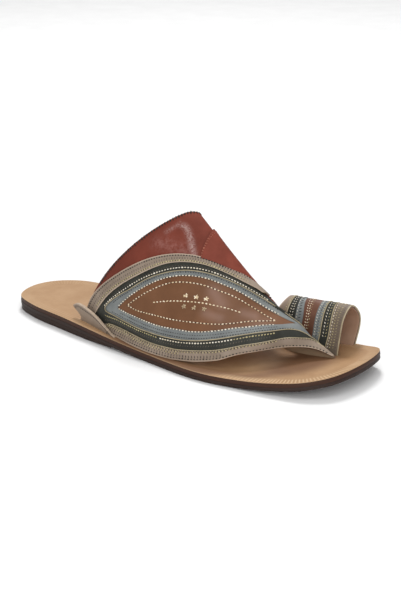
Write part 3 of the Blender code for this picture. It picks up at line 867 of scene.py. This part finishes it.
def sole_place(height, inset_mm, lateral_end=1.0, medial_end=1.0):
    """Points over the sole's outline: bands that follow each edge, joined across the middle."""
    def place(p, w):
        band = RIM_BAND * MM
        from_lateral = np.clip(w / RIM_SHARE, 0, 1) * band + inset_mm * MM
        from_medial = np.clip((1 - w) / RIM_SHARE, 0, 1) * band + inset_mm * MM
        lateral = LATERAL_SIDE.at(p * lateral_end, from_lateral)
        medial = MEDIAL_SIDE.at(p * medial_end, from_medial)
        middle = np.clip((w - RIM_SHARE) / (1 - 2 * RIM_SHARE), 0, 1)[:, None]
        flat = np.where((w > 1 - RIM_SHARE)[:, None], medial, lateral + (medial - lateral) * middle)
        across = apart(flat, LATERAL_SIDE.at(p * lateral_end, np.zeros_like(p)))
        z, marks = height(flat, p, w, np.minimum(from_lateral, from_medial) / MM, across)
        return np.column_stack([flat, z]), marks
    return place


def tick_count(side):
    return np.round(side.length / (TICK_PITCH * MM))


def footbed_height(flat, p, w, edge_mm, from_lateral):
    """The footbed's top with its tooled ticks, and its painted marks."""
    phase = p * np.where(w < 0.5, tick_count(LATERAL_SIDE), tick_count(MEDIAL_SIDE))
    groove = np.clip(np.cos(2 * np.pi * phase), 0, 1) ** 0.7
    reach = smooth_step(TICK_START - 0.3, TICK_START + 0.3, edge_mm)
    reach = reach * smooth_fall(TICK_END - 1.2, TICK_END, edge_mm)
    clearer = np.where(w < 0.5, TICK_LATERAL, TICK_MEDIAL) * smooth_step(*FOREFOOT, flat[:, 0])
    tick = groove * reach * (TICK_FAINT + clearer)
    x, y = flat.T / MM
    ball = smooth_step(*SHADE_BALL, x)
    shade = smooth_step(*SHADE_REAR, x) * smooth_step(-8 + 10 * ball, 3 + 7 * ball, from_lateral)
    shade = shade * (1 - smooth_step(*UNDER_LEAF, from_lateral) * smooth_fall(*BEFORE_LEAF, x))
    shade = shade * smooth_fall(-SHADE_SOFTNESS, SHADE_SOFTNESS, x - np.interp(y, *SHADE_FRONT.T))
    shade = shade * smooth_fall(*SHADE_MEDIAL, y)
    marks = {"tick": tick, "shade": shade, "rim": edge_mark(edge_mm, 0.7)}
    return insole_top(flat[:, 0]) - TICK_DEPTH * MM * tick, marks


def plain_height(surface):
    return lambda flat, *_: (surface(flat[:, 0]), {})


def closed_lift_top(x):
    """The heel lift's top, pressed up to the outsole."""
    return lift_top(x) + LAYER_CLOSING * MM


def lift_share(point):
    """Share of the heel lift's full thickness at a point."""
    full = closed_lift_top(0.0) - lift_under(0.0)
    return (closed_lift_top(point[0]) - lift_under(point[0])) / full


def make_sole():
    ticks = int(max(tick_count(LATERAL_SIDE), tick_count(MEDIAL_SIDE)))
    leather_piece("footbed", sole_place(footbed_height, 0.2), (ticks * POINTS_PER_TICK, 30),
                  (TAN_FOOTBED, INSOLE_EDGE), INSOLE / MM + LAYER_CLOSING, 0.20, "insole",
                  lining_slot=CUT_EDGE_SLOT)
    leather_piece("sole_leather", sole_place(plain_height(outsole_top), 0.0), (240, 18), (SOLE_EDGE,),
                  OUTSOLE / MM, 0.25, "outsole")
    ends = (side.share_at(LIFT_END * LENGTH) for side in (LATERAL_SIDE, MEDIAL_SIDE))
    leather_piece("heel_leather", sole_place(plain_height(closed_lift_top), LIFT_INSET / MM, *ends),
                  (110, 18), (SOLE_EDGE,), (closed_lift_top(0.0) - lift_under(0.0)) / MM, 0.35,
                  "heel_lift", share_of_wall=lift_share)


# The upper's shell and the flap over the instep.

# How far the collar is rounded off, and where around the upper that starts and ends.
COLLAR_ROUNDING = 0.014
ROUNDING_START = (0.44, 0.54)
ROUNDING_END = (0.62, 0.84)
# Where around the upper the painted shade on its lateral side fades to half, where along it the tongue turns
# taupe, and where along the sandal, in metres, its wall is thinned.
SIDE_SHADE_FADE = (0.10, 0.34)
TONGUE_START = (0.62, 0.74)
TONGUE_THINNING = (0.225, 0.258)


def collar_edge(around):
    """The collar's edge along the upper, rounded off where it passes over the crown."""
    return COLLAR_ROUNDING * smooth_step(*ROUNDING_START, around) * smooth_fall(*ROUNDING_END, around)


def shell_place(p, w):
    crown_side = np.maximum(2 * w - 1, 0) * (medial_cut(p) - 0.5)
    lateral_side = np.minimum(2 * w - 1, 0) * (0.5 - lateral_cut(p))
    around = 0.5 + crown_side + lateral_side
    along = p + (1 - p) ** 4 * collar_edge(around)
    base = upper_point(along, around)
    points = on_upper(along, around, 0.0)
    on_margin = (w < 1e-6) & (along <= REAR_MARGIN_END)
    on_margin |= (w > 1 - 1e-6) & ((along <= REAR_MARGIN_END) | (along >= TONGUE_MARGIN_START))
    points[on_margin, 2] -= MARGIN_TUCK
    marks = {
        # painted highlight along the crease
        "crease_highlight": run_marks(base, CREASE_HIGHLIGHT_RUNS),
        "sheen": run_marks(base, SHEEN_RUNS),
        # painted shade on the shell: full low on its lateral side, half above
        "side_shade": 1 - 0.5 * smooth_step(*SIDE_SHADE_FADE, around),
        "rim": edge_mark(apart(base, upper_point(collar_edge(around), around)), 0.9),
        "tongue": smooth_step(*TONGUE_START, along),
    }
    return points, marks


def shell_wall(point):
    skived = smooth_step(*TONGUE_THINNING, point[0])
    return 1 + (TONGUE_TIP_WALL / UPPER_WALL - 1) * skived


def make_shell():
    leather_piece("upper_shell", shell_place, (130, 110), (RED_CALF, WAXED_EDGE, LINING_KIP),
                  UPPER_WALL / MM, 0.4, "upper", LINING_SLOT, shell_wall)


def flap_front(around):
    """The flap's front edge: tucked under the leaf's border, then along the medial cut."""
    share = np.linspace(0, FLAP_LEAF_END, 200)
    _, leaf_along, leaf_around = spline_rows(LEAF_LINES, share).T
    leaf_around = np.minimum(leaf_around, medial_cut(leaf_along))
    cut_along = np.linspace(REAR_MARGIN_END, FLAP_CUT_END, 200)[::-1]
    by_leaf = np.interp(around, leaf_around, leaf_along)
    by_cut = np.interp(around, medial_cut(cut_along), cut_along)
    return np.minimum(by_leaf + FLAP_TUCK, by_cut)


def flap_places(p, w):
    edge = spline_rows(FLAP_BACK_EDGE, p)
    around = edge[..., 0]
    back = edge[..., 1]
    return back + (flap_front(around) - back) * w, around


def flap_place(p, w):
    across = soft_edge_profile(w)
    along, around = flap_places(p, across)
    lift = FLAP_LIFT + (FLAP_FRONT_LIFT - FLAP_LIFT) * smooth_step(FLAP_FRONT_START, 1.0, across)
    from_back = apart(upper_point(along, around), upper_point(*flap_places(p, 0.0)))
    return on_upper(along, around, lift), {"rim": edge_mark(from_back, 0.7)}


def make_flap():
    leather_piece("instep_flap_leather", flap_place, (110, 40), (RED_CALF, WAXED_EDGE, LINING_KIP), FLAP_WALL,
                  0.3, "instep_flap", LINING_SLOT, flip=True)


# The leaf: layers that overlap from the border inwards.

def ring_place(outer, inner, lifts, start=0.0, end=1.0):
    """A band between two lenses: along the lower side to the front, back along the upper."""
    outer_lift, inner_lift, _ = lifts
    # Only the strip that starts on the instep has a free end, which is rounded and springs up.
    free_end = start > 0.5

    def place(p, w):
        turn = start + (end - start) * p
        share = 1 - np.abs(2 * turn - 1)
        lower = turn <= 0.5
        across = soft_edge_profile(w)
        if free_end:
            rounding = np.clip(1 - p / STRIP_ROUNDING, 0, 1)
            across = across + (1 - across) * (1 - np.sqrt(1 - 0.98 * rounding ** 2))
        outside, inside = (np.where(lower[:, None], edge.at(LOWER, share), edge.at(UPPER, share))
                           for edge in (outer, inner))
        spots = outside + (inside - outside) * across[:, None]
        base = upper_at(spots)
        to_edge = np.minimum(apart(base, upper_at(outside)), apart(base, upper_at(inside)))
        lift = outer_lift + (inner_lift - outer_lift) * across - turned_edge(0.22, to_edge)
        lift = lift + np.where(lower, border_flare(outer, LOWER, spots[:, 0], across), 0.0)
        if free_end:
            lift = lift + STRIP_SPRING * smooth_fall(0.0, STRIP_SPRING_SHARE, p)
        # rim: the taupe's pale cut edge; on the other bands, painted shade along their edges
        return on_upper(*spots.T, lift), {"rim": edge_mark(to_edge, 0.55)}
    return place


class TuckedEdge:
    """An edge carried a little way under the band outside it."""

    def __init__(self, edge, outside):
        self.edge = edge
        self.outside = outside

    def at(self, side, share):
        return between_edges(self.edge, self.outside, side, share, TUCK_UNDER)


class CharcoalBorder(TuckedEdge):
    """The charcoal band's outer edge. Past the end of the taupe strip it is the leaf's border."""

    def at(self, side, share):
        tucked = super().at(side, share)
        if side == LOWER:
            return tucked
        past = smooth_step(STRIP_END - 0.01, STRIP_END + 0.05, share)[:, None]
        return tucked + (self.outside.at(side, share) - tucked) * past


def panel_place(edge, lift):
    """A whole lens, from its lower side to its upper side, with painted highlights."""
    def place(p, w):
        low = edge.at(LOWER, p)
        high = edge.at(UPPER, p)
        spots = low + (high - low) * w[:, None]
        return on_upper(*spots.T, lift), {"painted_highlight": run_marks(upper_at(spots), PAINTED_HIGHLIGHT_RUNS)}
    return place


def make_leaf():
    taupe = ring_place(OUTLINE_EDGE, CHARCOAL_EDGE, LAYERS["taupe"], 0.0, 0.5)
    upper_taupe = ring_place(OUTLINE_EDGE, CHARCOAL_EDGE, LAYERS["taupe"], 1 - STRIP_END / 2, 1.0)
    charcoal = ring_place(CharcoalBorder(CHARCOAL_EDGE, OUTLINE_EDGE), BLUE_GREY_EDGE, LAYERS["charcoal"])
    blue_grey = ring_place(TuckedEdge(BLUE_GREY_EDGE, CHARCOAL_EDGE), BROWN_EDGE, LAYERS["blue_grey"])
    brown = panel_place(TuckedEdge(BROWN_EDGE, BLUE_GREY_EDGE), LAYERS["brown"][0])
    for name, layer_of, place, steps, face, edge in (
            ("taupe", "taupe", taupe, (240, 16), TAUPE_GOAT, CUT_EDGE),
            ("taupe_upper", "taupe", upper_taupe, (200, 16), TAUPE_GOAT, CUT_EDGE),
            ("charcoal", "charcoal", charcoal, (400, 14), CHARCOAL_GOAT, DARK_EDGE),
            ("blue_grey", "blue_grey", blue_grey, (380, 14), BLUE_GREY_GOAT, CUT_EDGE),
            ("brown", "brown", brown, (160, 60), BROWN_CALF, DARK_EDGE)):
        leather_piece("leaf_" + name, place, steps, (face, edge), LAYERS[layer_of][2], 0.18,
                      "leaf_panel")


# Piping and stitching.

# Radii of the piping in millimetres.
LEAF_PIPING_RADIUS = 0.30
LOOP_PIPING_RADIUS = 0.38
LOOP_RIM_RADIUS = 0.42
# How uneven the handwork is: the turn of a stitch in degrees, then its size as a share.
STITCH_TURN, STITCH_SIZE = 9.0, 0.13
PETAL_TURN, PETAL_SPREAD = 14.0, 0.15


def piping(name, points, radius_mm, closed=False):
    """A thin round piping of cream kid, laid along a line of points."""
    curve = bpy.data.curves.new(name, "CURVE")
    curve.dimensions = "3D"
    curve.bevel_depth = radius_mm * MM
    curve.bevel_resolution = 2
    curve.use_fill_caps = True
    line = curve.splines.new("POLY")
    line.points.add(len(points) - 1)
    placed = np.column_stack([points + FRAME_SHIFT, np.ones(len(points))])
    line.points.foreach_set("co", placed.ravel())
    line.use_cyclic_u = closed
    piece = add_object(name, curve)
    bpy.ops.object.select_all(action="DESELECT")
    piece.select_set(True)
    bpy.context.view_layer.objects.active = piece
    bpy.ops.object.convert(target="MESH")
    piece = bpy.context.object
    piece.data.materials.append(CREAM_PIPING)
    bpy.ops.object.shade_smooth_by_angle(angle=ROUND_ANGLE)
    settle(piece)


def thread_bead():
    """One stitch as a small bead of thread: its points and faces."""
    bpy.ops.object.select_all(action="DESELECT")
    bpy.ops.mesh.primitive_uv_sphere_add(segments=8, ring_count=5, radius=0.5)
    bead = bpy.context.object
    in_edit_mode(bpy.ops.transform.resize, value=(1.0, 1.0, 0.8))
    points = np.array([v.co for v in bead.data.vertices])
    faces = [tuple(f.vertices) for f in bead.data.polygons]
    bpy.data.objects.remove(bead)
    return points, faces


BEAD_POINTS, BEAD_FACES = thread_bead()


def stitch_row(points, out, pitch_mm, length_mm, width_mm, slant=0.0, shift=0.5):
    """Stitches at an even pitch along a line. slant turns them, in degrees, on the leather."""
    run = run_length(points)
    count = max(int(round(run[-1] / (pitch_mm * MM))), 1)
    at = (np.arange(count) + shift) * run[-1] / count
    centre = read_line(points, run, at)
    ahead = unit(read_line(np.gradient(points, axis=0), run, at))
    normal = unit(read_line(out, run, at))
    beside = unit(np.cross(normal, ahead))
    turn = np.radians(slant + DRAW.normal(0.0, STITCH_TURN, len(at)))[:, None]
    direction = ahead * np.cos(turn) + beside * np.sin(turn)
    size = np.stack([np.full(len(at), length_mm), np.full(len(at), width_mm)], -1)
    size = size * np.clip(DRAW.normal(1.0, STITCH_SIZE, size.shape), 0.7, 1.3)
    return centre, direction, normal, size * MM


def sew(name, rows, key):
    """Join all stitches of one thread into one mesh."""
    centre, direction, normal, size = (np.concatenate(part) for part in zip(*rows))
    beside = np.cross(normal, direction)
    bead = BEAD_POINTS[None, :, :]
    points = centre[:, None, :] + bead[..., 0:1] * (direction * size[:, 0:1])[:, None, :]
    points = points + bead[..., 1:2] * (beside * size[:, 1:2])[:, None, :]
    points = points + bead[..., 2:3] * (normal * size[:, 1:2])[:, None, :]
    count, corners = points.shape[:2]
    faces = [tuple(k * corners + i for i in face) for k in range(count) for face in BEAD_FACES]
    mesh = bpy.data.meshes.new(name)
    mesh.from_pydata((points.reshape(-1, 3) + FRAME_SHIFT).tolist(), [], faces)
    tone = mesh.attributes.new("tone", "FLOAT", "POINT")
    tone.data.foreach_set("value", np.repeat(DRAW.random(count), corners).astype(np.float32))
    mesh.materials.append(THREADS[key])
    mesh.shade_smooth()
    settle(add_object(name, mesh))


def line_on_upper(spots, lift_mm):
    """A line of points and outward directions over places on the upper."""
    return on_upper(*spots.T, lift_mm), upper_normal(*spots.T)


def band_line(outer, inner, side, across, lift_mm, start, end):
    spots = between_edges(outer, inner, side, np.linspace(start, end, 260), across)
    return line_on_upper(spots, lift_mm + border_flare(outer, side, spots[:, 0], across))


# Rows of stitches on the leaf's bands, each band between its outer and its inner edge.
TAUPE_BAND = (OUTLINE_EDGE, CHARCOAL_EDGE)
CHARCOAL_BAND = (CHARCOAL_EDGE, BLUE_GREY_EDGE)
BLUE_GREY_BAND = (BLUE_GREY_EDGE, BROWN_EDGE)
LEAF_ROWS = (
    # thread, band, side, across the band, lift, start, end, pitch, length, width, slant
    ("dark", TAUPE_BAND, UPPER, 0.20, 1.26, 0.02, 0.68, 2.0, 1.25, 0.95, 0),
    ("dun", TAUPE_BAND, UPPER, 0.55, 1.56, 0.04, 0.67, 1.9, 1.90, 0.50, 90),
    ("olive", TAUPE_BAND, UPPER, 0.82, 1.88, 0.06, 0.68, 1.9, 1.35, 0.85, 12),
    ("dark", TAUPE_BAND, LOWER, 0.20, 1.24, 0.12, 0.98, 2.3, 1.25, 0.80, 0),
    ("dun", TAUPE_BAND, LOWER, 0.42, 1.44, 0.10, 0.62, 2.3, 2.00, 0.70, 90),
    ("olive", TAUPE_BAND, LOWER, 0.62, 1.66, 0.10, 0.46, 2.3, 1.30, 0.80, 30),
    ("olive", TAUPE_BAND, LOWER, 0.82, 1.88, 0.10, 0.80, 2.3, 1.30, 0.80, -20),
    ("dun", TAUPE_BAND, LOWER, 0.92, 1.96, 0.10, 0.94, 1.9, 1.50, 0.60, 0),
    ("cream", CHARCOAL_BAND, UPPER, 0.66, 1.46, 0.03, 0.72, 2.1, 1.45, 0.90, 0),
    ("dun", CHARCOAL_BAND, UPPER, 0.40, 1.20, 0.03, 0.70, 2.1, 1.20, 0.45, 0),
    ("olive", CHARCOAL_BAND, LOWER, 0.74, 1.46, 0.03, 0.33, 2.1, 1.50, 0.95, -15),
    ("cream", CHARCOAL_BAND, LOWER, 0.74, 1.46, 0.34, 0.64, 2.1, 1.50, 0.95, 0),
    ("olive", CHARCOAL_BAND, LOWER, 0.74, 1.46, 0.64, 0.80, 2.1, 1.50, 0.90, 15),
    ("dun", CHARCOAL_BAND, LOWER, 0.44, 1.22, 0.05, 0.78, 1.9, 1.40, 0.55, 60),
    ("dark", BLUE_GREY_BAND, UPPER, 0.30, 1.04, 0.03, 0.80, 1.8, 1.05, 0.65, 0),
    ("dark", BLUE_GREY_BAND, LOWER, 0.26, 1.04, 0.03, 0.90, 1.8, 1.10, 0.70, 0),
    ("dark", BLUE_GREY_BAND, LOWER, 0.58, 1.14, 0.06, 0.86, 1.8, 1.00, 0.55, 0),
    ("cream", BLUE_GREY_BAND, UPPER, 0.94, 1.26, 0.01, 0.90, 2.3, 1.40, 0.85, 0),
    ("cream", BLUE_GREY_BAND, LOWER, 0.94, 1.26, 0.01, 0.88, 2.3, 1.45, 0.85, 0),
)
# Stitch holes, the gold rows' stitches and the stars' petals: length and width in millimetres.
HOLE_SIZE = (0.85, 0.75)
GOLD_STITCH = (1.50, 0.85)
PETAL_SIZE = (1.75, 0.95)
PETAL_REACH = 0.95
GOLD_PITCH = 2.5
# Other rows: pitch, length, width and, on the collar, slant.
VEIN_ROW = (2.6, 1.65, 0.90)
COLLAR_ROW = (2.2, 2.4, 1.1, 75)
FLAP_ROW = (1.9, 1.3, 0.6)
STAR_TURNS = (90.0, 162.0, 234.0, 306.0, 18.0)
# How high stitches lie on the brown leather.
ON_BROWN = LAYERS["brown"][0] + 0.1


def star_stitches(spot):
    """A small uneven star: five short stitches around a point."""
    centre, normal = line_on_upper(np.array([spot]), ON_BROWN)
    ahead = unit(np.cross(normal, (0.0, 1.0, 0.0)))
    beside = np.cross(normal, ahead)
    count = len(STAR_TURNS)
    turn = np.radians(STAR_TURNS + DRAW.normal(0.0, PETAL_TURN, count))[:, None]
    petal = ahead * np.cos(turn) + beside * np.sin(turn)
    sizes = np.array(PETAL_SIZE) * DRAW.normal(1.0, PETAL_SPREAD, (count, 2)) * MM
    return centre + PETAL_REACH * MM * petal, petal, np.repeat(normal, count, axis=0), sizes


def holes(points, out, depth_mm, pitch):
    """Dark holes between the stitches of a row."""
    return stitch_row(points - depth_mm * MM * out, out, pitch, *HOLE_SIZE, shift=0.0)


def sew_all(name, rows):
    """Sew the rows of each thread as one mesh."""
    for key, sewn in rows.items():
        if sewn:
            sew(name + key, sewn, key)


def make_leaf_stitching():
    rows = {key: [] for key in THREADS}
    for key, band, side, across, lift, start, end, *stitch in LEAF_ROWS:
        points, out = band_line(*band, side, across, lift, start, end)
        rows[key].append(stitch_row(points, out, *stitch))
        if key in ("cream", "olive"):
            rows["dark"].append(holes(points, out, 0.12, stitch[0]))
    for side in (LOWER, UPPER):
        points, out = line_on_upper(GOLD_EDGE.at(side, np.linspace(0.0, 1.0, 260)), ON_BROWN)
        rows["gold"].append(stitch_row(points, out, GOLD_PITCH, *GOLD_STITCH))
        rows["dark"].append(holes(points, out, 0.15, GOLD_PITCH))
    vein = spline_rows(from_thousandths(LEAF_VEIN), np.linspace(0, 1, 120))
    rows["gold"].append(stitch_row(*line_on_upper(vein, ON_BROWN), *VEIN_ROW))
    for key, *ends in STAR_ROWS:
        first, last = from_thousandths(ends)
        for share in np.linspace(0, 1, STARS_IN_ROW):
            rows[key].append(star_stitches(first + (last - first) * share))
    sew_all("leaf_stitching_", rows)


def make_leaf_piping():
    share = np.linspace(0, 1, 260)
    loop = np.concatenate([BLUE_GREY_EDGE.at(LOWER, share), BLUE_GREY_EDGE.at(UPPER, share)[-2:0:-1]])
    points, _ = line_on_upper(loop, 1.5)
    piping("leaf_piping", points, LEAF_PIPING_RADIUS, closed=True)
    points, _ = line_on_upper(CHARCOAL_EDGE.at(LOWER, np.linspace(0.10, 0.97, 260)), 1.75)
    piping("leaf_border_piping", points, LEAF_PIPING_RADIUS)


def make_upper_stitching():
    around = np.linspace(0.10, 0.97, 300)
    points, out = line_on_upper(np.stack([collar_edge(around) + 0.005, around], -1), 0.15)
    sew("collar_stitching", [stitch_row(points, out, *COLLAR_ROW)], "dark")
    rows = []
    for inward in (0.035, 0.075):
        line = np.stack(flap_places(np.linspace(0.0, 1.0, 240), inward), -1)
        rows.append(stitch_row(*line_on_upper(line, FLAP_LIFT + 0.05), *FLAP_ROW))
    sew("flap_stitching", rows, "red")


# The toe loop: stripes over one lined band.
LOOP_STRIPES = (
    # name, rear and front on the top of the loop in millimetres from the heel, lift, leather, edge
    ("rear_taupe", 208.0, 212.9, 0.30, TAUPE_GOAT, CUT_EDGE),
    ("rear_charcoal", 212.3, 218.3, 0.22, CHARCOAL_GOAT, DARK_EDGE),
    ("rear_blue_grey", 217.7, 222.6, 0.14, BLUE_GREY_GOAT, CUT_EDGE),
    ("red_brown", 222.0, 236.2, 0.06, LOOP_BROWN_CALF, DARK_EDGE),
    ("front_blue_grey", 235.4, 241.4, 0.14, BLUE_GREY_GOAT, CUT_EDGE),
    ("front_charcoal", 240.8, 247.4, 0.22, CHARCOAL_GOAT, DARK_EDGE),
    ("front_taupe", 246.8, 258.0, 0.30, TAUPE_GOAT, CUT_EDGE),
)
LOOP_PIPING = (212.6, 241.1, 247.1)
# The front stripe gets painted shade on its near side.
FRONT_STRIPE = (246.0, 248.0)
NEAR_SIDE_SHADE = (0.35, 0.70)
STRIPE_WALL = 0.9
# The lined band under the stripes: its depth below the loop's outer face, and its wall.
LOOP_BAND_DEPTH = 0.6
LOOP_BAND_WALL = LOOP_WALL / MM - 1.4
# Rows of stitches on the stripes, from share to share of the way over the toe.
LOOP_ROWS = (
    # thread, along, lift, start, end, pitch, length, width, slant
    ("olive", 211.5, 0.34, 0.14, 0.86, 1.9, 1.1, 0.60, 0),
    ("cream", 214.6, 0.26, 0.14, 0.86, 2.0, 1.2, 0.50, 50),
    ("cream", 216.2, 0.26, 0.14, 0.86, 2.0, 1.2, 0.50, -50),
    ("cream", 218.9, 0.18, 0.14, 0.86, 2.2, 0.9, 0.45, 0),
    ("dark", 220.5, 0.16, 0.08, 0.86, 2.2, 2.4, 0.45, 90),
    ("gold", 226.0, 0.10, 0.20, 0.84, 2.0, 1.3, 0.55, 35),
    ("gold", 228.0, 0.10, 0.20, 0.84, 2.0, 1.3, 0.55, -35),
    ("olive", 229.6, 0.10, 0.20, 0.84, 2.2, 0.9, 0.45, 0),
    ("cream", 237.0, 0.18, 0.16, 0.84, 2.0, 1.1, 0.45, 40),
    ("dark", 238.6, 0.16, 0.10, 0.84, 2.0, 1.4, 0.45, 0),
    ("olive", 239.9, 0.18, 0.16, 0.84, 2.0, 1.1, 0.50, -40),
    ("cream", 243.3, 0.26, 0.16, 0.84, 2.2, 1.5, 0.55, 35),
    ("olive", 245.2, 0.26, 0.16, 0.84, 2.2, 1.2, 0.50, -35),
    ("cream", 248.7, 0.34, 0.06, 0.84, 2.2, 1.4, 0.60, 0),
    ("olive", 250.8, 0.34, 0.06, 0.88, 1.9, 1.5, 0.50, 60),
    ("olive", 253.6, 0.34, 0.06, 0.92, 1.9, 1.3, 0.45, -60),
    ("dun", 255.9, 0.32, 0.04, 0.92, 1.9, 1.3, 0.45, 90),
)


def over_toe(p):
    """Shares of the way over the toe, with a tuck into the insole at each end."""
    return -LOOP_TUCK + (1 + 2 * LOOP_TUCK) * p


def loop_stripe_place(rear, front, lift):
    def place(p, w):
        share = over_toe(p)
        across = soft_edge_profile(w)
        x = across_loop(share, rear + (front - rear) * across)
        edge = np.minimum(across, 1 - across) * (front - rear)
        # painted shade on the near side of the front stripe
        side_shade = smooth_step(*FRONT_STRIPE, front) * smooth_fall(*NEAR_SIDE_SHADE, share)
        return on_loop(share, x, lift - turned_edge(0.20, edge)), {"rim": edge_mark(edge, 0.5), "side_shade": side_shade}
    return place


def loop_band_place(p, w):
    share = over_toe(p)
    x = across_loop(share, (LOOP_REAR + (LOOP_FRONT - LOOP_REAR) * w) / MM)
    return on_loop(share, x, -LOOP_BAND_DEPTH), {"tongue": 0.45}


def loop_line(x_mm, lift, start=0.0, end=1.0):
    share = np.linspace(start, end, 200)
    out = np.column_stack([np.zeros_like(share), loop_out(share)])
    return on_loop(share, across_loop(share, x_mm), lift), out


def make_loop():
    leather_piece("loop_band", loop_band_place, (110, 30), (LINING_KIP, WAXED_EDGE), LOOP_BAND_WALL, 0.2,
                  "toe_loop", flip=True)
    for name, rear, front, lift, face, edge in LOOP_STRIPES:
        leather_piece("loop_" + name, loop_stripe_place(rear, front, lift), (120, 14), (face, edge),
                      STRIPE_WALL, 0.16, "toe_loop", flip=True)
    for number, x_mm in enumerate(LOOP_PIPING):
        points, _ = loop_line(x_mm, 0.25)
        piping(f"loop_piping_{number + 1}", points, LOOP_PIPING_RADIUS)
    points, _ = loop_line(LOOP_FRONT / MM + 0.1, 0.0)
    piping("loop_front_rim", points, LOOP_RIM_RADIUS)
    rows = {key: [] for key in THREADS}
    for key, x_mm, lift, start, end, *stitch in LOOP_ROWS:
        rows[key].append(stitch_row(*loop_line(x_mm, lift, start, end), *stitch))
    sew_all("loop_stitching_", rows)


# The side tab.

TAB_FOOT_SHARE = 0.2
TAB_RUN = TAB_REAR - TAB_FRONT
TAB_ROWS = (
    # start, end, height, points, pitch, width: the seam along its top, then one stitch at its foot
    (0.10, 0.86, 0.80, 80, 1.9, 0.45),
    (0.17, 0.24, 0.36, 20, 3.0, 1.0),
)


def read_edge(table, where):
    """A smooth edge of the tab, read at shares given in the table's first column."""
    share = np.interp(where, table[:, 0], np.linspace(0, 1, len(table)))
    return spline_rows(table[:, 1:], share)[:, 0]


def tab_place(p, w):
    up = np.clip((w - TAB_FOOT_SHARE) / (1 - TAB_FOOT_SHARE), 0, 1)
    below = np.clip(1 - w / TAB_FOOT_SHARE, 0, 1)
    rear = read_edge(TAB_REAR_EDGE, up)
    top = read_edge(TAB_TOP_EDGE, p)
    x = (TAB_END + (rear - TAB_END) * p) * MM
    y = TAB_FRONT[1] + (x - TAB_FRONT[0]) * (TAB_RUN[1] / TAB_RUN[0])
    z = insole_top(x) + (top * up - TAB_FOOT_DEPTH * below) * MM
    from_top = (1 - up) * top
    return np.stack([x, y, z], -1), {"rim": edge_mark(from_top, 0.6), "seam": edge_mark(from_top - 2.0, 0.5)}


def make_tab():
    leather_piece("side_tab_leather", tab_place, (60, 24), (TAUPE_GOAT, CUT_EDGE), TAB_WALL / MM, 0.35,
                  "side_tab", flip=True)
    outward = unit(np.array((-TAB_RUN[1], TAB_RUN[0], 0.0)))
    rows = []
    for start, end, up, points, pitch, width in TAB_ROWS:
        line, _ = tab_place(np.linspace(start, end, points), np.full(points, up))
        rows.append(stitch_row(line, np.broadcast_to(outward, line.shape), pitch, 1.2, width))
    sew("tab_stitching", rows, "dark")


# Stage.
CAMERA_AIM = np.array((0.15857, 0.0, 0.03319))
CAMERA_AZIMUTH = math.radians(36.13)
CAMERA_ELEVATION = math.radians(20.86)
CAMERA_ROLL = math.radians(-0.14)
CAMERA_DISTANCE = 0.950
CAMERA_SENSOR = 36.0
CAMERA_LENS = 123.18
FLOOR_SIZE = 8.0
FLOOR_GAP = 0.0002
SKY_STRENGTH = 0.41
LIGHT_AIM = np.array((0.0, 0.0, 0.03))
SOFT_BOXES = (
    # name, place in metres, size in metres, power in watts
    ("overhead_box", (0.25, -0.15, 1.5), 1.2, 5.5),
    ("back_box", (-0.66, 0.95, 1.85), 0.60, 26.0),
    ("front_box", (0.80, -0.95, 0.55), 1.0, 7.0),
)


def face_scene(thing, eye, right, up, back):
    """Place a camera or a light by its three directions; it looks away from back."""
    placed = np.eye(4)
    placed[:3] = np.column_stack([right, up, back, eye])
    thing.matrix_world = Matrix(placed.tolist())


def make_camera():
    level = np.array((math.cos(CAMERA_AZIMUTH), math.sin(CAMERA_AZIMUTH), 0.0))
    flat = math.cos(CAMERA_ELEVATION)
    back = np.array((level[1] * flat, -level[0] * flat, math.sin(CAMERA_ELEVATION)))
    above = np.cross(back, level)
    right = math.cos(CAMERA_ROLL) * level + math.sin(CAMERA_ROLL) * above
    up = -math.sin(CAMERA_ROLL) * level + math.cos(CAMERA_ROLL) * above
    lens = bpy.data.cameras.new("camera")
    lens.sensor_fit = "HORIZONTAL"
    lens.sensor_width = CAMERA_SENSOR
    lens.lens = CAMERA_LENS
    camera = add_object("camera", lens)
    face_scene(camera, CAMERA_AIM + CAMERA_DISTANCE * back + FRAME_SHIFT, right, up, back)
    bpy.context.scene.camera = camera


def soft_light(name, place, size, power):
    """A large soft box turned to the sandal."""
    lamp = bpy.data.lights.new(name, "AREA")
    lamp.shape = "SQUARE"
    lamp.size = size
    lamp.energy = power
    back = unit(np.array(place) - LIGHT_AIM)
    right = unit(np.cross((0.0, 1.0, 0.0), back))
    face_scene(add_object(name, lamp), place, right, np.cross(back, right), back)


def make_stage():
    bpy.ops.object.select_all(action="DESELECT")
    bpy.ops.mesh.primitive_plane_add(size=FLOOR_SIZE, location=(0.0, 0.0, -FLOOR_GAP))
    floor = bpy.context.object
    floor.name = "floor"
    bpy.ops.object.transform_apply(location=True)
    floor.data.materials.append(studio_paper())
    world = bpy.data.worlds.new("studio")
    world.use_nodes = True
    sky = world.node_tree
    feed(sky, sky.nodes["Background"], {"Color": linear("#ffffff"), "Strength": SKY_STRENGTH})
    bpy.context.scene.world = world
    for light in SOFT_BOXES:
        soft_light(*light)
    bpy.context.scene.view_settings.view_transform = "Standard"


make_camera()
make_sole()
make_shell()
make_flap()
make_leaf()
make_leaf_piping()
make_leaf_stitching()
make_upper_stitching()
make_loop()
make_tab()
make_stage()
